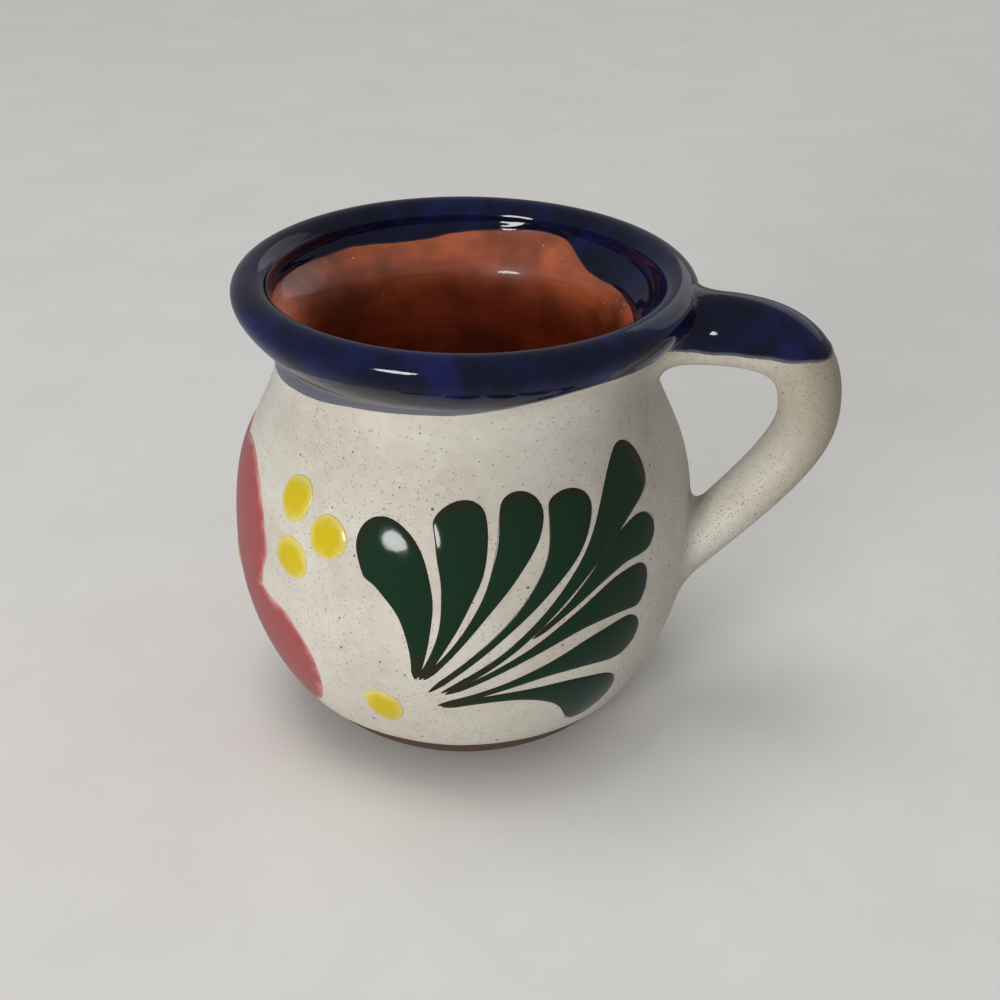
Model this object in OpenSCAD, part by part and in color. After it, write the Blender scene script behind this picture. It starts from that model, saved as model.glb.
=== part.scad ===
// Jarrito: a small thrown clay mug with a pulled handle, a cream slip coat, a cobalt rim
// and raised brush strokes. The origin is the middle of the foot's face, +Z is up, and the
// handle points along +X. Layers share the clay's own outline, so each lies on the one below.

/* [Body] */
// Height of the mug from the foot's face to the top of the lip
mug_h = 92.4; // [88:0.4:98]
// Radius of the flat foot
foot_r = 24; // [21:0.2:28]
// Radius of the belly where it is widest
belly_r = 45; // [43:0.2:48]
// Height of the widest ring of the belly
belly_z = 37.4; // [33:0.2:42]
// How far the rim's outer edge lies inside the belly's radius
rim_in = 1.4; // [0:0.1:3]
// How far the neck lies inside the rim's outer edge, where shoulder and flare would meet
neck_in = 9.2; // [7:0.1:10.6]
// Depth below the top of the lip at which shoulder and flare would meet
neck_drop = 13.8; // [12:0.2:16]
// Thickness of the thrown wall
wall_t = 4.6; // [3.6:0.1:5.4]
// Thickness of the floor
floor_t = 6; // [5:0.1:7]
// Width of the rolled lip from its inner to its outer edge
lip_w = 6.2; // [5.6:0.1:7]
// Height of the lip's round top above its widest ring
lip_h = 2.7; // [2.2:0.1:3.4]

/* [Handle] */
// Distance from the belly out to the coil's centre line where it is furthest out
handle_out = 21; // [17:0.2:24]
// Depth of the furthest point of the coil below the top of the lip
handle_knee_drop = 22.8; // [20:0.2:27]
// Depth of the coil's centre line below the top of the lip where it leaves the lip
handle_top_drop = 9.4; // [9:0.1:11]
// Rise of the curve that lifts the coil off the lip
handle_lift = 3.8; // [2:0.2:4.4]
// Height of the coil's buried lower end above the foot's face
handle_end_z = 22.8; // [21:0.2:27]
// Thickness of the coil at the lip
coil_top_t = 13.8; // [13:0.2:15]
// Thickness of the coil at its furthest point
coil_knee_t = 11; // [9.6:0.2:12.4]
// Thickness of the coil at the belly
coil_end_t = 8.4; // [7.6:0.2:12]
// Width of the coil at the lip
coil_top_w = 12.4; // [12:0.2:16]
// Width of the coil at its furthest point
coil_knee_w = 14.2; // [12:0.2:16]
// Width of the coil at the belly
coil_end_w = 14; // [12:0.2:16]
// How deep the coil's lower end is buried in the belly's radius
handle_bury = 12; // [10:0.5:14]
// How far the smeared luting slip spreads sideways at a joint
luting_w = 2.6; // [1.6:0.1:3.2]
// How far the luting slip climbs the coil from the body
luting_h = 5; // [4:0.2:6]

/* [Coats] */
// Thickness of the cream slip coat
slip_t = 0.35; // [0.25:0.05:0.5]
// Thickness of the cobalt glaze
glaze_t = 0.45; // [0.3:0.05:0.6]
// Thickness of the clear gloss inside
gloss_t = 0.3; // [0.2:0.05:0.4]
// Height that a brush stroke stands above the slip
stroke_t = 0.5; // [0.3:0.05:0.8]
// Depth of the glaze's outer edge below the top of the lip, at the axis
dip_drop = 13.2; // [12.4:0.2:14]
// Tilt of the dip, lower on the side away from the handle
dip_tilt = 9; // [4:0.5:10]
// Depth of the glaze's edge on the handle below the top of the lip
handle_dip_drop = 10.9; // [8:0.2:12]
// Depth of the glaze's edge inside, below the top of the lip
inside_drop = 6.2; // [5:0.2:7.6]
// Depth of the glaze's tongue inside by the handle, below the top of the lip
tongue_drop = 9.6; // [8.4:0.2:11]
// Distance from the axis at which the tongue starts
tongue_x = 18; // [12:0.5:22]
// Height of the bare clay ring that the slip leaves round the foot
bare_foot_h = 8.2; // [6:0.1:9.4]

/* [Painting] */
// Angle of the flower's centre round the axis, from the handle
flower_angle = -164; // [-174:1:-160]
// Height of the flower's centre, as a share of the neck's height
flower_up_share = 0.433; // [0.4:0.002:0.46]
// Radius of the flower's yellow centre
flower_eye_r = 5.2; // [4:0.2:6]
// Turn of the far side's painting away from the handle
far_turn = 12; // [6:1:16]
// Radius of the yellow dots
dot_r = 4.1; // [3.4:0.1:4.6]

/* [Hidden] */
LEAVES = 9;
DOTS = ["upper", "near", "lower", "low"];
PETALS = ["near_low", "near_high", "far_high", "far_low", "bottom"];
$fn = 96;

// How far a cutter runs past what it cuts
over = mug_h;

// Shapes of the outline, as shares of the spans that they bend over
belly_round_share = 1.2;
shoulder_rise_share = 0.59;
shoulder_fall_share = 0.5;
shoulder_in_share = 0.58;
flare_out_share = 0.47;
flare_up_share = 0.28;
flare_top_share = 0.27;
neck_from_share = 0.86;
neck_to_share = 0.3;

function mix(a, b, t) = a + (b - a) * t;
function bezier(p, t) =
    pow(1 - t, 3) * p[0] + 3 * t * pow(1 - t, 2) * p[1] + 3 * t * t * (1 - t) * p[2] + t * t * t * p[3];
function conic(p, t) = pow(1 - t, 2) * p[0] + 2 * t * (1 - t) * p[1] + t * t * p[2];
function unit(v) = v / norm(v);
function left_of(v) = [-v.y, v.x];
function heading(line, i) = unit(line[min(i + 1, len(line) - 1)] - line[max(i - 1, 0)]);
function reversed(line) = [for (i = [len(line) - 1:-1:0]) line[i]];
function part_of(line, from, to) = [for (i = [from:to]) line[i]];

// The clay's skin as one line in the plane of radius and height: up the outside from the
// foot's edge, over the lip and down the inside to the middle of the floor.
rim_r = belly_r - rim_in;
neck_r = rim_r - neck_in;
neck_z = mug_h - neck_drop;
lip_z = mug_h - lip_h;
lip_in_r = rim_r - lip_w;
BELLY_STEPS = 14;
belly_line = [for (i = [0:BELLY_STEPS]) let (a = 90 * i / BELLY_STEPS) [
    mix(foot_r, belly_r, pow(sin(a), belly_round_share)),
    belly_z * (1 - pow(cos(a), belly_round_share))
]];
shoulder = [
    [belly_r, belly_z],
    [belly_r, mix(belly_z, neck_z, shoulder_rise_share)],
    [mix(neck_r, belly_r, shoulder_in_share), mix(neck_z, belly_z, shoulder_fall_share)],
    [neck_r, neck_z]
];
flare = [
    [neck_r, neck_z],
    [mix(neck_r, rim_r, flare_out_share), mix(neck_z, lip_z, flare_up_share)],
    [rim_r, mix(lip_z, neck_z, flare_top_share)],
    [rim_r, lip_z]
];
neck_bend = [bezier(shoulder, neck_from_share), [neck_r, neck_z], bezier(flare, neck_to_share)];
shoulder_line = [for (i = [1:12]) bezier(shoulder, neck_from_share * i / 12)];
neck_line = [for (i = [1:4]) conic(neck_bend, i / 4)];
flare_line = [for (i = [1:6]) bezier(flare, mix(neck_to_share, 1, i / 6))];
lip_line = [for (i = [1:12]) let (a = 180 * i / 12) [
    rim_r - lip_w / 2 + lip_w / 2 * cos(a),
    lip_z + lip_h * sin(a)
]];
outside_line = concat(belly_line, shoulder_line, neck_line, flare_line);
LAST_OUT = len(outside_line) - 1;
LIP_TOP = LAST_OUT + 6;
MOUTH_END = LIP_TOP + 13;

// The inner wall follows the outer one, a wall's thickness in, and thickens into the floor.
// Above the neck it bends up into the lip's inner edge.
WALL_STEPS = BELLY_STEPS + 16;
function wall_at(i) = mix(floor_t, wall_t, min(i / BELLY_STEPS, 1));
function inner_point(i) = outside_line[i] + wall_at(i) * left_of(heading(outside_line, i));
mouth_foot = inner_point(WALL_STEPS);
mouth_way = heading(outside_line, WALL_STEPS);
mouth = [
    [lip_in_r, lip_z],
    [lip_in_r, mouth_foot.y + (lip_in_r - mouth_foot.x) * mouth_way.y / mouth_way.x],
    mouth_foot
];
mouth_line = [for (i = [1:4]) conic(mouth, i / 4)];
bowl_line = [for (i = [WALL_STEPS - 1:-1:0]) inner_point(i)];
skin = concat(outside_line, lip_line, mouth_line, bowl_line, [[0, floor_t]]);
LAST_IN = len(skin) - 1;

// Offsets of the skin, away from the clay
function skin_out(i, d) = skin[i] - d * left_of(heading(skin, i));
function layer(from, to, d0, d1) = concat(
    [for (i = [from:to]) skin_out(i, d0)],
    [for (i = [to:-1:from]) skin_out(i, d1)]
);
module shell(from, to, d0, d1) {
    rotate_extrude()
        polygon(layer(from, to, d0, d1));
}
module body_envelope() {
    rotate_extrude()
        polygon(concat([[0, 0]], part_of(skin, 0, LIP_TOP), [[0, skin[LIP_TOP].y]]));
}

// Height table of the outside, for things painted on it
radius_table = [for (p = outside_line) [p.y, p.x]];
function radius_at(z) = lookup(z, radius_table);

// Cutters for the edges of the glaze
module above(z, tilt = 0) {
    translate([0, 0, z])
        rotate([0, -tilt, 0])
            translate([-over, -over, 0])
                cube([2 * over, 2 * over, over]);
}
module blue_inside() {
    above(mug_h - inside_drop);
    intersection() {
        above(mug_h - tongue_drop);
        translate([tongue_x, -over, 0])
            cube([over, 2 * over, 2 * over]);
    }
}

// The coil's centre line in the plane of the handle: over from the lip to the furthest
// point, then down and in to the belly. It starts and ends inside the wall.
start_share = 0.7;
arm_share = 0.75;
turn_share = 0.96;
drop_share = 0.24;
run_in_share = 0.5;
run_down_share = 0.53;
handle_x = belly_r + handle_out;
handle_start = [rim_r - coil_top_t * start_share, mug_h - handle_top_drop];
handle_knee = [handle_x, mug_h - handle_knee_drop];
handle_end = [belly_r - handle_bury, handle_end_z];
over_curve = [
    handle_start,
    [mix(handle_start.x, handle_x, arm_share), handle_start.y + handle_lift],
    [handle_x, mix(handle_knee.y, handle_start.y, turn_share)],
    handle_knee
];
down_curve = [
    handle_knee,
    [handle_x, mix(handle_knee.y, handle_end.y, drop_share)],
    [mix(handle_x, handle_end.x, run_in_share), mix(handle_knee.y, handle_end.y, run_down_share)],
    handle_end
];
heading_share = 0.02;
function coil_centre(g) = g < 1 ? bezier(over_curve, g) : bezier(down_curve, g - 1);
function coil_heading(g) =
    unit(coil_centre(min(g + heading_share, 2)) - coil_centre(max(g - heading_share, 0)));
function coil_half(g, sizes) = g < 1 ? mix(sizes[0], sizes[1], g) / 2 : mix(sizes[1], sizes[2], g - 1) / 2;
coil_t = [coil_top_t, coil_knee_t, coil_end_t];
coil_w = [coil_top_w, coil_knee_w, coil_end_w];
SIDES = 20;
function coil_point(g, a, grow) =
    let (
        c = coil_centre(g),
        out = left_of(coil_heading(g)),
        high = (coil_half(g, coil_t) + grow) * cos(a),
        wide = (coil_half(g, coil_w) + grow) * sin(a)
    )
    [c.x + out.x * high, -wide, c.y + out.y * high];
function clear_of_body(p) = norm([p.x, p.y]) - radius_at(p.z);
// The slip is smeared all round a joint, and wiped flush on top of the upper one
function smear(p, a, g) =
    luting_w * pow(1 - min(max(clear_of_body(p), 0) / luting_h, 1), 2) * (g < 1 ? min(1, 1 - cos(a)) : 1);
function coil_ring(g, grow) = [for (k = [0:SIDES - 1]) coil_point(g, 360 * k / SIDES, grow)];
function luted_ring(g) = [for (k = [0:SIDES - 1])
    let (a = 360 * k / SIDES)
    coil_point(g, a, glaze_t + smear(coil_point(g, a, 0), a, g))
];

// Stations along the coil, 0 at the lip, 1 at the furthest point and 2 at the belly. They
// lie closer together at the joints, which the two shares bound.
upper_joint_share = 0.42;
lower_joint_share = 1.42;
UPPER_END = 8;
LOWER_START = 22;
LAST_STATION = 34;
function station(i) = i <= UPPER_END
    ? upper_joint_share * i / UPPER_END
    : i <= LOWER_START
        ? mix(upper_joint_share, lower_joint_share, (i - UPPER_END) / (LOWER_START - UPPER_END))
        : mix(lower_joint_share, 2, (i - LOWER_START) / (LAST_STATION - LOWER_START));

function side_faces(first, rings, turned) = [for (r = [0:rings - 2], k = [0:SIDES - 1])
    let (
        a = first + r * SIDES + k,
        b = first + r * SIDES + (k + 1) % SIDES,
        quad = [a, b, b + SIDES, a + SIDES]
    )
    each (turned ? [[quad[2], quad[1], quad[0]], [quad[3], quad[2], quad[0]]]
                 : [[quad[0], quad[1], quad[2]], [quad[0], quad[2], quad[3]]])
];
module rod(rings) {
    last = (len(rings) - 1) * SIDES;
    polyhedron(
        points = [for (r = rings) each r],
        faces = concat(
            side_faces(0, len(rings), true),
            [[for (k = [0:SIDES - 1]) k]],
            [[for (k = [SIDES - 1:-1:0]) last + k]]
        )
    );
}
module pipe(outer, inner) {
    n = len(outer) * SIDES;
    last = n - SIDES;
    polyhedron(
        points = [for (r = concat(outer, inner)) each r],
        faces = concat(
            side_faces(0, len(outer), true),
            side_faces(n, len(inner), false),
            [for (k = [0:SIDES - 1]) let (m = (k + 1) % SIDES) each [[k, m, n + m], [k, n + m, n + k]]],
            [for (k = [0:SIDES - 1]) let (m = (k + 1) % SIDES, a = last)
                each [[a + m, a + k, n + a + k], [a + m, n + a + k, n + a + m]]]
        )
    );
}
function rings_between(from, to, grow) = [for (i = [from:to]) coil_ring(station(i), grow)];
function luted_between(from, to) = [for (i = [from:to]) luted_ring(station(i))];
module joint_envelope() {
    rod(luted_between(0, UPPER_END));
    rod(luted_between(LOWER_START, LAST_STATION));
}

// Brush strokes are drawn on the unrolled belly, x along its arc and y up. Each row has the
// four points that bend the stroke, from its tip to its head, as angle from the handle and
// share of the neck's height, then its half width as a share of the belly's radius, how late
// it swells, and where its round head starts.
leaf_shares = [
    [[-91.5, 0.375], [-89.5, 0.495], [-89.5, 0.7], [-106, 0.721], 0.133, 1.7, 0.84],
    [[-90.5, 0.375], [-83, 0.5], [-77.5, 0.67], [-82.3, 0.82], 0.115, 2.2, 0.91],
    [[-89.5, 0.375], [-76.5, 0.53], [-68.5, 0.675], [-64.2, 0.834], 0.099, 3.1, 0.91],
    [[-88.5, 0.335], [-70.5, 0.515], [-53, 0.66], [-52, 0.824], 0.106, 3.6, 0.92],
    [[-85.5, 0.335], [-55.5, 0.53], [-47, 0.74], [-26.8, 0.846], 0.112, 3.6, 0.92],
    [[-64, 0.487], [-47, 0.6], [-43, 0.685], [-27.3, 0.667], 0.083, 1.8, 0.89],
    [[-84.5, 0.331], [-65, 0.437], [-48, 0.57], [-31, 0.543], 0.1, 3, 0.92],
    [[-86.5, 0.29], [-66, 0.366], [-53, 0.428], [-33, 0.414], 0.102, 3.1, 0.9],
    [[-85.5, 0.287], [-70, 0.338], [-49, 0.333], [-39.3, 0.18], 0.141, 3.7, 0.88]
];
// Dots: angle from the handle and share of the neck's height, in the order of DOTS
dot_shares = [[-126, 0.755], [-114, 0.7], [-125, 0.615], [-101, 0.26]];
// Petals on the unrolled belly, in the order of PETALS: how far the end lies from the flower's
// centre, along as a share of the belly's radius and up as a share of the neck's height, then
// the half width as a share of the belly's radius
petal_shares = [
    [0.736, -0.201, 0.291],
    [0.319, 0.317, 0.352],
    [-0.319, 0.317, 0.352],
    [-0.736, -0.201, 0.291],
    [0, -0.293, 0.17]
];
petal_swell = 0.55;
// Width of a stroke's thin tail, and how soon it is reached from the tip
tail_share = 0.14;
tip_share = 0.06;
petal_spine_shares = [0.08, 0.3, 0.7, 1];
STROKE_STEPS = 14;
DOT_SIDES = 24;

arc_per_degree = belly_r * PI / 180;
function on_belly(p) = [p[0] * arc_per_degree, p[1] * neck_z];
flower_eye_at = on_belly([flower_angle, flower_up_share]);
function pressed(t, swell, head) =
    t < head
        ? mix(tail_share * sqrt(min(t / tip_share, 1)), 1, sin(90 * pow(t / head, swell)))
        : sqrt(max(0, 1 - pow((t - head) / (1 - head), 2)));
function stroke_time(i, head) = i < STROKE_STEPS
    ? head * i / STROKE_STEPS
    : mix(head, 1, sin(90 * (i - STROKE_STEPS) / STROKE_STEPS));
function stroke_side(bends, half, swell, head, side) =
    [for (i = [1:2 * STROKE_STEPS - 1])
        let (
            t = stroke_time(i, head),
            way = unit(bezier(bends, min(t + heading_share, 1)) - bezier(bends, max(t - heading_share, 0)))
        )
        bezier(bends, t) + side * half * pressed(t, swell, head) * left_of(way)
    ];
function stroke_outline(bends, half, swell, head) = concat(
    [bends[0]],
    stroke_side(bends, half, swell, head, 1),
    [bends[3]],
    reversed(stroke_side(bends, half, swell, head, -1))
);
function leaf_outline(i) =
    let (row = leaf_shares[i - 1])
    stroke_outline([for (k = [0:3]) on_belly(row[k])], row[4] * belly_r, row[5], row[6]);
function petal_outline(i) =
    let (
        row = petal_shares[i],
        reach = [row[0] * belly_r, row[1] * neck_z],
        half = row[2] * belly_r
    )
    stroke_outline(
        [for (s = petal_spine_shares) flower_eye_at + reach * s],
        half, petal_swell, 1 - half / norm(reach)
    );
function round_outline(c, r) = [for (k = [1:DOT_SIDES])
    let (a = 360 * k / DOT_SIDES)
    c + r * [cos(a), sin(a)]
];
function middle_angle(line) =
    (min([for (p = line) p.x]) + max([for (p = line) p.x])) / 2 / arc_per_degree;

// A column through an outline on the unrolled belly, and the layer of paint inside it
module column(line) {
    mid = middle_angle(line);
    plan = [for (p = line) [radius_at(p.y) * sin(p.x / arc_per_degree - mid), p.y]];
    rotate([0, 0, mid])
        rotate([90, 0, 90])
            linear_extrude(height = over)
                polygon(plan);
}
module paint(line) {
    intersection() {
        shell(1, LAST_OUT, slip_t, slip_t + stroke_t);
        column(line);
    }
}
module on_far_side() {
    rotate([0, 0, far_turn])
        mirror([0, 1, 0])
            children();
}

module clay_body() {
    color("#8a4a30")
        rotate_extrude()
            polygon(concat([[0, 0]], skin));
}
module handle() {
    color("#8a4a30")
        difference() {
            rod(rings_between(0, LAST_STATION, 0));
            body_envelope();
        }
}
module upper_luting_slip() {
    color("#171b3d")
        difference() {
            pipe(luted_between(0, UPPER_END), rings_between(0, UPPER_END, 0));
            body_envelope();
        }
}
module lower_luting_slip() {
    color("#c9c1b1")
        difference() {
            pipe(luted_between(LOWER_START, LAST_STATION), rings_between(LOWER_START, LAST_STATION, 0));
            body_envelope();
        }
}
module body_slip_coat() {
    color("#cdc6b8")
        difference() {
            intersection() {
                shell(1, LAST_OUT, 0, slip_t);
                above(bare_foot_h);
            }
            above(mug_h - dip_drop, dip_tilt);
            joint_envelope();
        }
}
module handle_coat() {
    pipe(rings_between(UPPER_END, LOWER_START, glaze_t), rings_between(UPPER_END, LOWER_START, 0));
}
module handle_slip_coat() {
    color("#cdc6b8")
        difference() {
            handle_coat();
            above(mug_h - handle_dip_drop);
        }
}
module handle_glaze() {
    color("#171b3d")
        intersection() {
            handle_coat();
            above(mug_h - handle_dip_drop);
        }
}
module rim_glaze() {
    color("#171b3d")
        difference() {
            union() {
                intersection() {
                    shell(BELLY_STEPS, LIP_TOP, 0, glaze_t);
                    above(mug_h - dip_drop, dip_tilt);
                }
                intersection() {
                    shell(LIP_TOP, MOUTH_END, 0, glaze_t);
                    blue_inside();
                }
            }
            joint_envelope();
        }
}
module inner_glaze() {
    color("#a4532f")
        difference() {
            shell(LIP_TOP, LAST_IN, 0, gloss_t);
            blue_inside();
        }
}
module leaf(i) {
    color("#12301f")
        difference() {
            paint(leaf_outline(i));
            for (j = [max(1, i - 2):1:i - 1])
                column(leaf_outline(j));
        }
}
module dot(i) {
    color("#d9bb1e")
        paint(round_outline(on_belly(dot_shares[i]), dot_r));
}
module petal(i) {
    color("#a83440")
        difference() {
            paint(petal_outline(i));
            for (j = [0:1:i - 1])
                column(petal_outline(j));
            column(round_outline(flower_eye_at, flower_eye_r));
        }
}
module flower_eye() {
    color("#d9bb1e")
        paint(round_outline(flower_eye_at, flower_eye_r));
}

clay_body();
handle();
upper_luting_slip();
lower_luting_slip();
body_slip_coat();
handle_slip_coat();
rim_glaze();
handle_glaze();
inner_glaze();
flower_eye();
for (i = [1:LEAVES])
    leaf(i);
for (i = [1:LEAVES])
    on_far_side() leaf(i);
for (i = [0:len(DOTS) - 1])
    dot(i);
for (i = [0:len(DOTS) - 1])
    on_far_side() dot(i);
for (i = [0:len(PETALS) - 1])
    petal(i);
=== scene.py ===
import math

import bpy
import numpy as np
from bpy.props import FloatProperty, FloatVectorProperty, PointerProperty
from mathutils import Matrix, Vector


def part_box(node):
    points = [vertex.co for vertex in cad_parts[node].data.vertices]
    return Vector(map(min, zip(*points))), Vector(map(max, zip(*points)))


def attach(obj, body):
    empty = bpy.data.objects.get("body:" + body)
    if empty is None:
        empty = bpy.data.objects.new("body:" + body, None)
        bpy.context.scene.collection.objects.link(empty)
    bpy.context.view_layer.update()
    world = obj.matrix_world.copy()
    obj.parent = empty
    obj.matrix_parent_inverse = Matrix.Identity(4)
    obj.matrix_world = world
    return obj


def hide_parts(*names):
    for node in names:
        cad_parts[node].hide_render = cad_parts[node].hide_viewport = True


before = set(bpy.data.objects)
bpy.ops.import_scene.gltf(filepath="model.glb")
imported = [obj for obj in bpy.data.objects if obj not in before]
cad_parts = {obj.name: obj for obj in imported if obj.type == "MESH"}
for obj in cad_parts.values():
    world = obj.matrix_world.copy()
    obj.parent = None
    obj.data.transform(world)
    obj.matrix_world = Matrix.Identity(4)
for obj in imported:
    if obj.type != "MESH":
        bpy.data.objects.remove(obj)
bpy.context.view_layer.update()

bl_info = {
    "name": "Clay Jarrito",
    "version": (1, 0, 0),
    "blender": (4, 5, 0),
    "location": "View3D > Sidebar > Jarrito",
    "description": "Turns, coats and paints a small clay mug on its solid frame, over a pale floor",
    "category": "Add Mesh",
}

BODY_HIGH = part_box("clay_body")[1]
MM = 0.001
ROOT = "root"


# Settings that a user would change

def distance(name, description, millimetres):
    """A length, stated in millimetres."""
    return FloatProperty(
        name=name, description=description, default=millimetres * MM, min=0,
        subtype="DISTANCE", unit="LENGTH",
    )


def turn(name, description, degrees):
    """An angle, stated in degrees."""
    return FloatProperty(
        name=name, description=description, default=math.radians(degrees),
        subtype="ANGLE", unit="ROTATION",
    )


def colour(name, description, hexadecimal):
    """A colour, stated as the eye sees it."""
    levels = [int(hexadecimal[i:i + 2], 16) / 255 for i in (0, 2, 4)]
    linear = [v / 12.92 if v <= 0.04045 else ((v + 0.055) / 1.055) ** 2.4 for v in levels]
    return FloatVectorProperty(
        name=name, description=description, default=linear, size=3, min=0, max=1, subtype="COLOR"
    )


class JarritoBody(bpy.types.PropertyGroup):
    """Sizes of the thrown body"""

    height: distance("Height", "From the foot's face to the top of the lip", BODY_HIGH.z / MM)
    belly_radius: distance("Belly radius", "Radius of the widest ring", BODY_HIGH.y / MM)
    belly_height: distance("Belly height", "Height of the widest ring", 37.4)
    foot_radius: distance("Foot radius", "Radius of the flat foot", 24)
    neck_radius: distance("Neck radius", "Radius at which shoulder and flare would meet", 34.4)
    neck_height: distance("Neck height", "Height at which shoulder and flare would meet", 78.6)
    rim_radius: distance("Rim radius", "Radius to the rim's outer edge", 43.6)
    wall: distance("Wall", "Thickness of the thrown wall", 4.6)
    floor: distance("Floor", "Thickness of the floor", 6)
    lip_width: distance("Lip width", "Width of the rolled lip", 6.2)
    lip_rise: distance("Lip rise", "Height of the lip's top above its widest ring", 2.7)


class JarritoHandle(bpy.types.PropertyGroup):
    """Sizes of the pulled coil"""

    out: distance("Reach", "From the belly to the coil's centre line where it is furthest out", 21)
    knee_drop: distance("Knee drop", "Depth of the furthest point below the top of the lip", 22.8)
    top_drop: distance("Top drop", "Depth of the centre line below the lip where the coil starts", 9.4)
    lift: distance("Lift", "Rise of the curve that lifts the coil off the lip", 3.8)
    end_height: distance("End height", "Height of the coil's buried lower end", 22.8)
    bury: distance("Bury", "How deep the lower end lies in the belly's radius", 12)
    top_thickness: distance("Top thickness", "Thickness of the coil at the lip", 13.8)
    knee_thickness: distance("Knee thickness", "Thickness of the coil at its furthest point", 11)
    end_thickness: distance("End thickness", "Thickness of the coil at the belly", 8.4)
    top_width: distance("Top width", "Width of the coil at the lip", 12.4)
    knee_width: distance("Knee width", "Width of the coil at its furthest point", 14.2)
    end_width: distance("End width", "Width of the coil at the belly", 14)
    fillet: distance("Fillet", "How far the luting slip reaches on each side of a joint", 4.6)


class JarritoCoats(bpy.types.PropertyGroup):
    """Thicknesses and edges of the coats"""

    slip: distance("Slip", "Thickness of the cream slip coat", 0.35)
    glaze: distance("Glaze", "Thickness of the cobalt glaze", 0.45)
    gloss: distance("Gloss", "Thickness of the clear gloss inside", 0.3)
    stroke: distance("Stroke", "Height of a brush stroke above the slip", 0.5)
    bare_foot: distance("Bare foot", "Height of the bare clay ring at the foot", 8.2)
    handle_edge_drop: distance("Handle edge", "Depth of the glaze's edge on it, below the lip", 10.9)
    dot_radius: distance("Dot radius", "Radius of a yellow dot", 4.1)
    eye_radius: distance("Eye radius", "Radius of the flower's centre", 5.2)
    flower_height: distance("Flower height", "Height of the flower's centre", 34.03)
    flower_angle: turn("Flower angle", "Angle of the flower round the axis, from the handle", -164)
    far_turn: turn("Far turn", "Turn of the far side's painting away from the handle", 12)


class JarritoColours(bpy.types.PropertyGroup):
    """Colours of the clay, the coats and the strokes"""

    clay: colour("Clay", "Fired terracotta, bare", "54382a")
    clay_glossed: colour("Glossed clay", "Terracotta under the clear gloss", "cb6940")
    clay_deep: colour("Deep clay", "Terracotta where it fired darker", "7e4029")
    cream: colour("Cream", "The slip coat where it is thick", "d0ccc2")
    cream_thin: colour("Thin cream", "The slip coat where clay shows through", "b9b1a3")
    # Painted shade on the handle's outer, upper slip, together with slip browned where it runs thin
    cream_stain_and_shade: colour("Stained cream", "The slip where it browned under the handle's glaze", "85755a")
    speck: colour("Speck", "Iron specks in the slip, and the dark tone of bare clay", "4d3a2a")
    cobalt: colour("Cobalt", "The rim glaze where it is deep", "090c20")
    cobalt_bright: colour("Bright cobalt", "The rim glaze where light gets into it", "181e58")
    # Worn cobalt is also a painted highlight: the pale line on the lip's inner edge, on the side that faces
    # the light
    cobalt_worn_highlight: colour("Worn cobalt", "The rim glaze where it breaks over the lip", "8b8292")
    cobalt_thin: colour("Thin cobalt", "The rim glaze where it runs out over the slip", "5b5b66")
    green: colour("Green", "The strokes where the colour is deep", "122c1b")
    green_edge: colour("Green edge", "The strokes at their edges and tails", "272214")
    yellow: colour("Yellow", "The dots at their middle", "c2ab0e")
    yellow_edge: colour("Yellow edge", "The dots where they run out", "cdbf6a")
    red: colour("Red", "The petals where the colour is deep", "974846")
    red_edge: colour("Red edge", "The petals where they run out", "c58a84")
    floor: colour("Floor", "The studio floor", "f0eee9")


class JarritoStage(bpy.types.PropertyGroup):
    """Camera and studio"""

    distance: distance("Camera distance", "From the camera to the plane through the foot's middle", 367.5)
    aim_right: distance("Aim right", "How far right of the foot's middle the camera looks", 7.04)
    aim_up: distance("Aim up", "How far above the foot's middle the camera looks, across its view", 37.88)
    azimuth: turn("Azimuth", "Turn of the camera round the mug", 9)
    elevation: turn("Elevation", "How far the camera looks down", 28.68)
    roll: turn("Roll", "Tilt of the camera about its own view", -0.73)
    lens: FloatProperty(
        name="Lens", description="Focal length in millimetres", default=61.9, min=1, unit="CAMERA"
    )


GROUPS = {
    "jarrito_body": JarritoBody,
    "jarrito_handle": JarritoHandle,
    "jarrito_coats": JarritoCoats,
    "jarrito_colours": JarritoColours,
    "jarrito_stage": JarritoStage,
}


def settings(name):
    """One group of this scene's settings."""
    return getattr(bpy.context.scene, "jarrito_" + name)


# Curves that the clay and the coats follow

# A small step along a curve, on which its direction is measured
SMALL_STEP = 0.02

BELLY_ROUND_SHARE = 1.2
SHOULDER_RISE_SHARE = 0.59
SHOULDER_FALL_SHARE = 0.5
SHOULDER_IN_SHARE = 0.58
FLARE_OUT_SHARE = 0.47
FLARE_UP_SHARE = 0.28
FLARE_TOP_SHARE = 0.27
NECK_FROM_SHARE = 0.86
NECK_TO_SHARE = 0.3


def mix(a, b, t):
    """From a, where t is 0, to b, where t is 1."""
    return a + (b - a) * t


def smooth_step(t):
    """0 up to 0 and 1 from 1 on, with a smooth rise between."""
    t = np.clip(t, 0, 1)
    return t * t * (3 - 2 * t)


def unit(v):
    """Each vector at length 1."""
    return v / np.linalg.norm(v, axis=-1, keepdims=True)


def bezier(points, t):
    """A point, or a row of points, of the cubic curve that four points bend."""
    t = np.asarray(t, float)[..., None]
    a, b, c, d = np.asarray(points, float)
    return (1 - t) ** 3 * a + 3 * t * (1 - t) ** 2 * b + 3 * t ** 2 * (1 - t) * c + t ** 3 * d


def conic(points, t):
    """The same for the curve that three points bend."""
    t = np.asarray(t, float)[..., None]
    a, b, c = np.asarray(points, float)
    return (1 - t) ** 2 * a + 2 * t * (1 - t) * b + t ** 2 * c


def right_normals(line):
    """Unit normals on the right of a line's direction of travel."""
    way = unit(np.gradient(line, axis=0))
    return np.column_stack([way[:, 1], -way[:, 0]])


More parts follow.
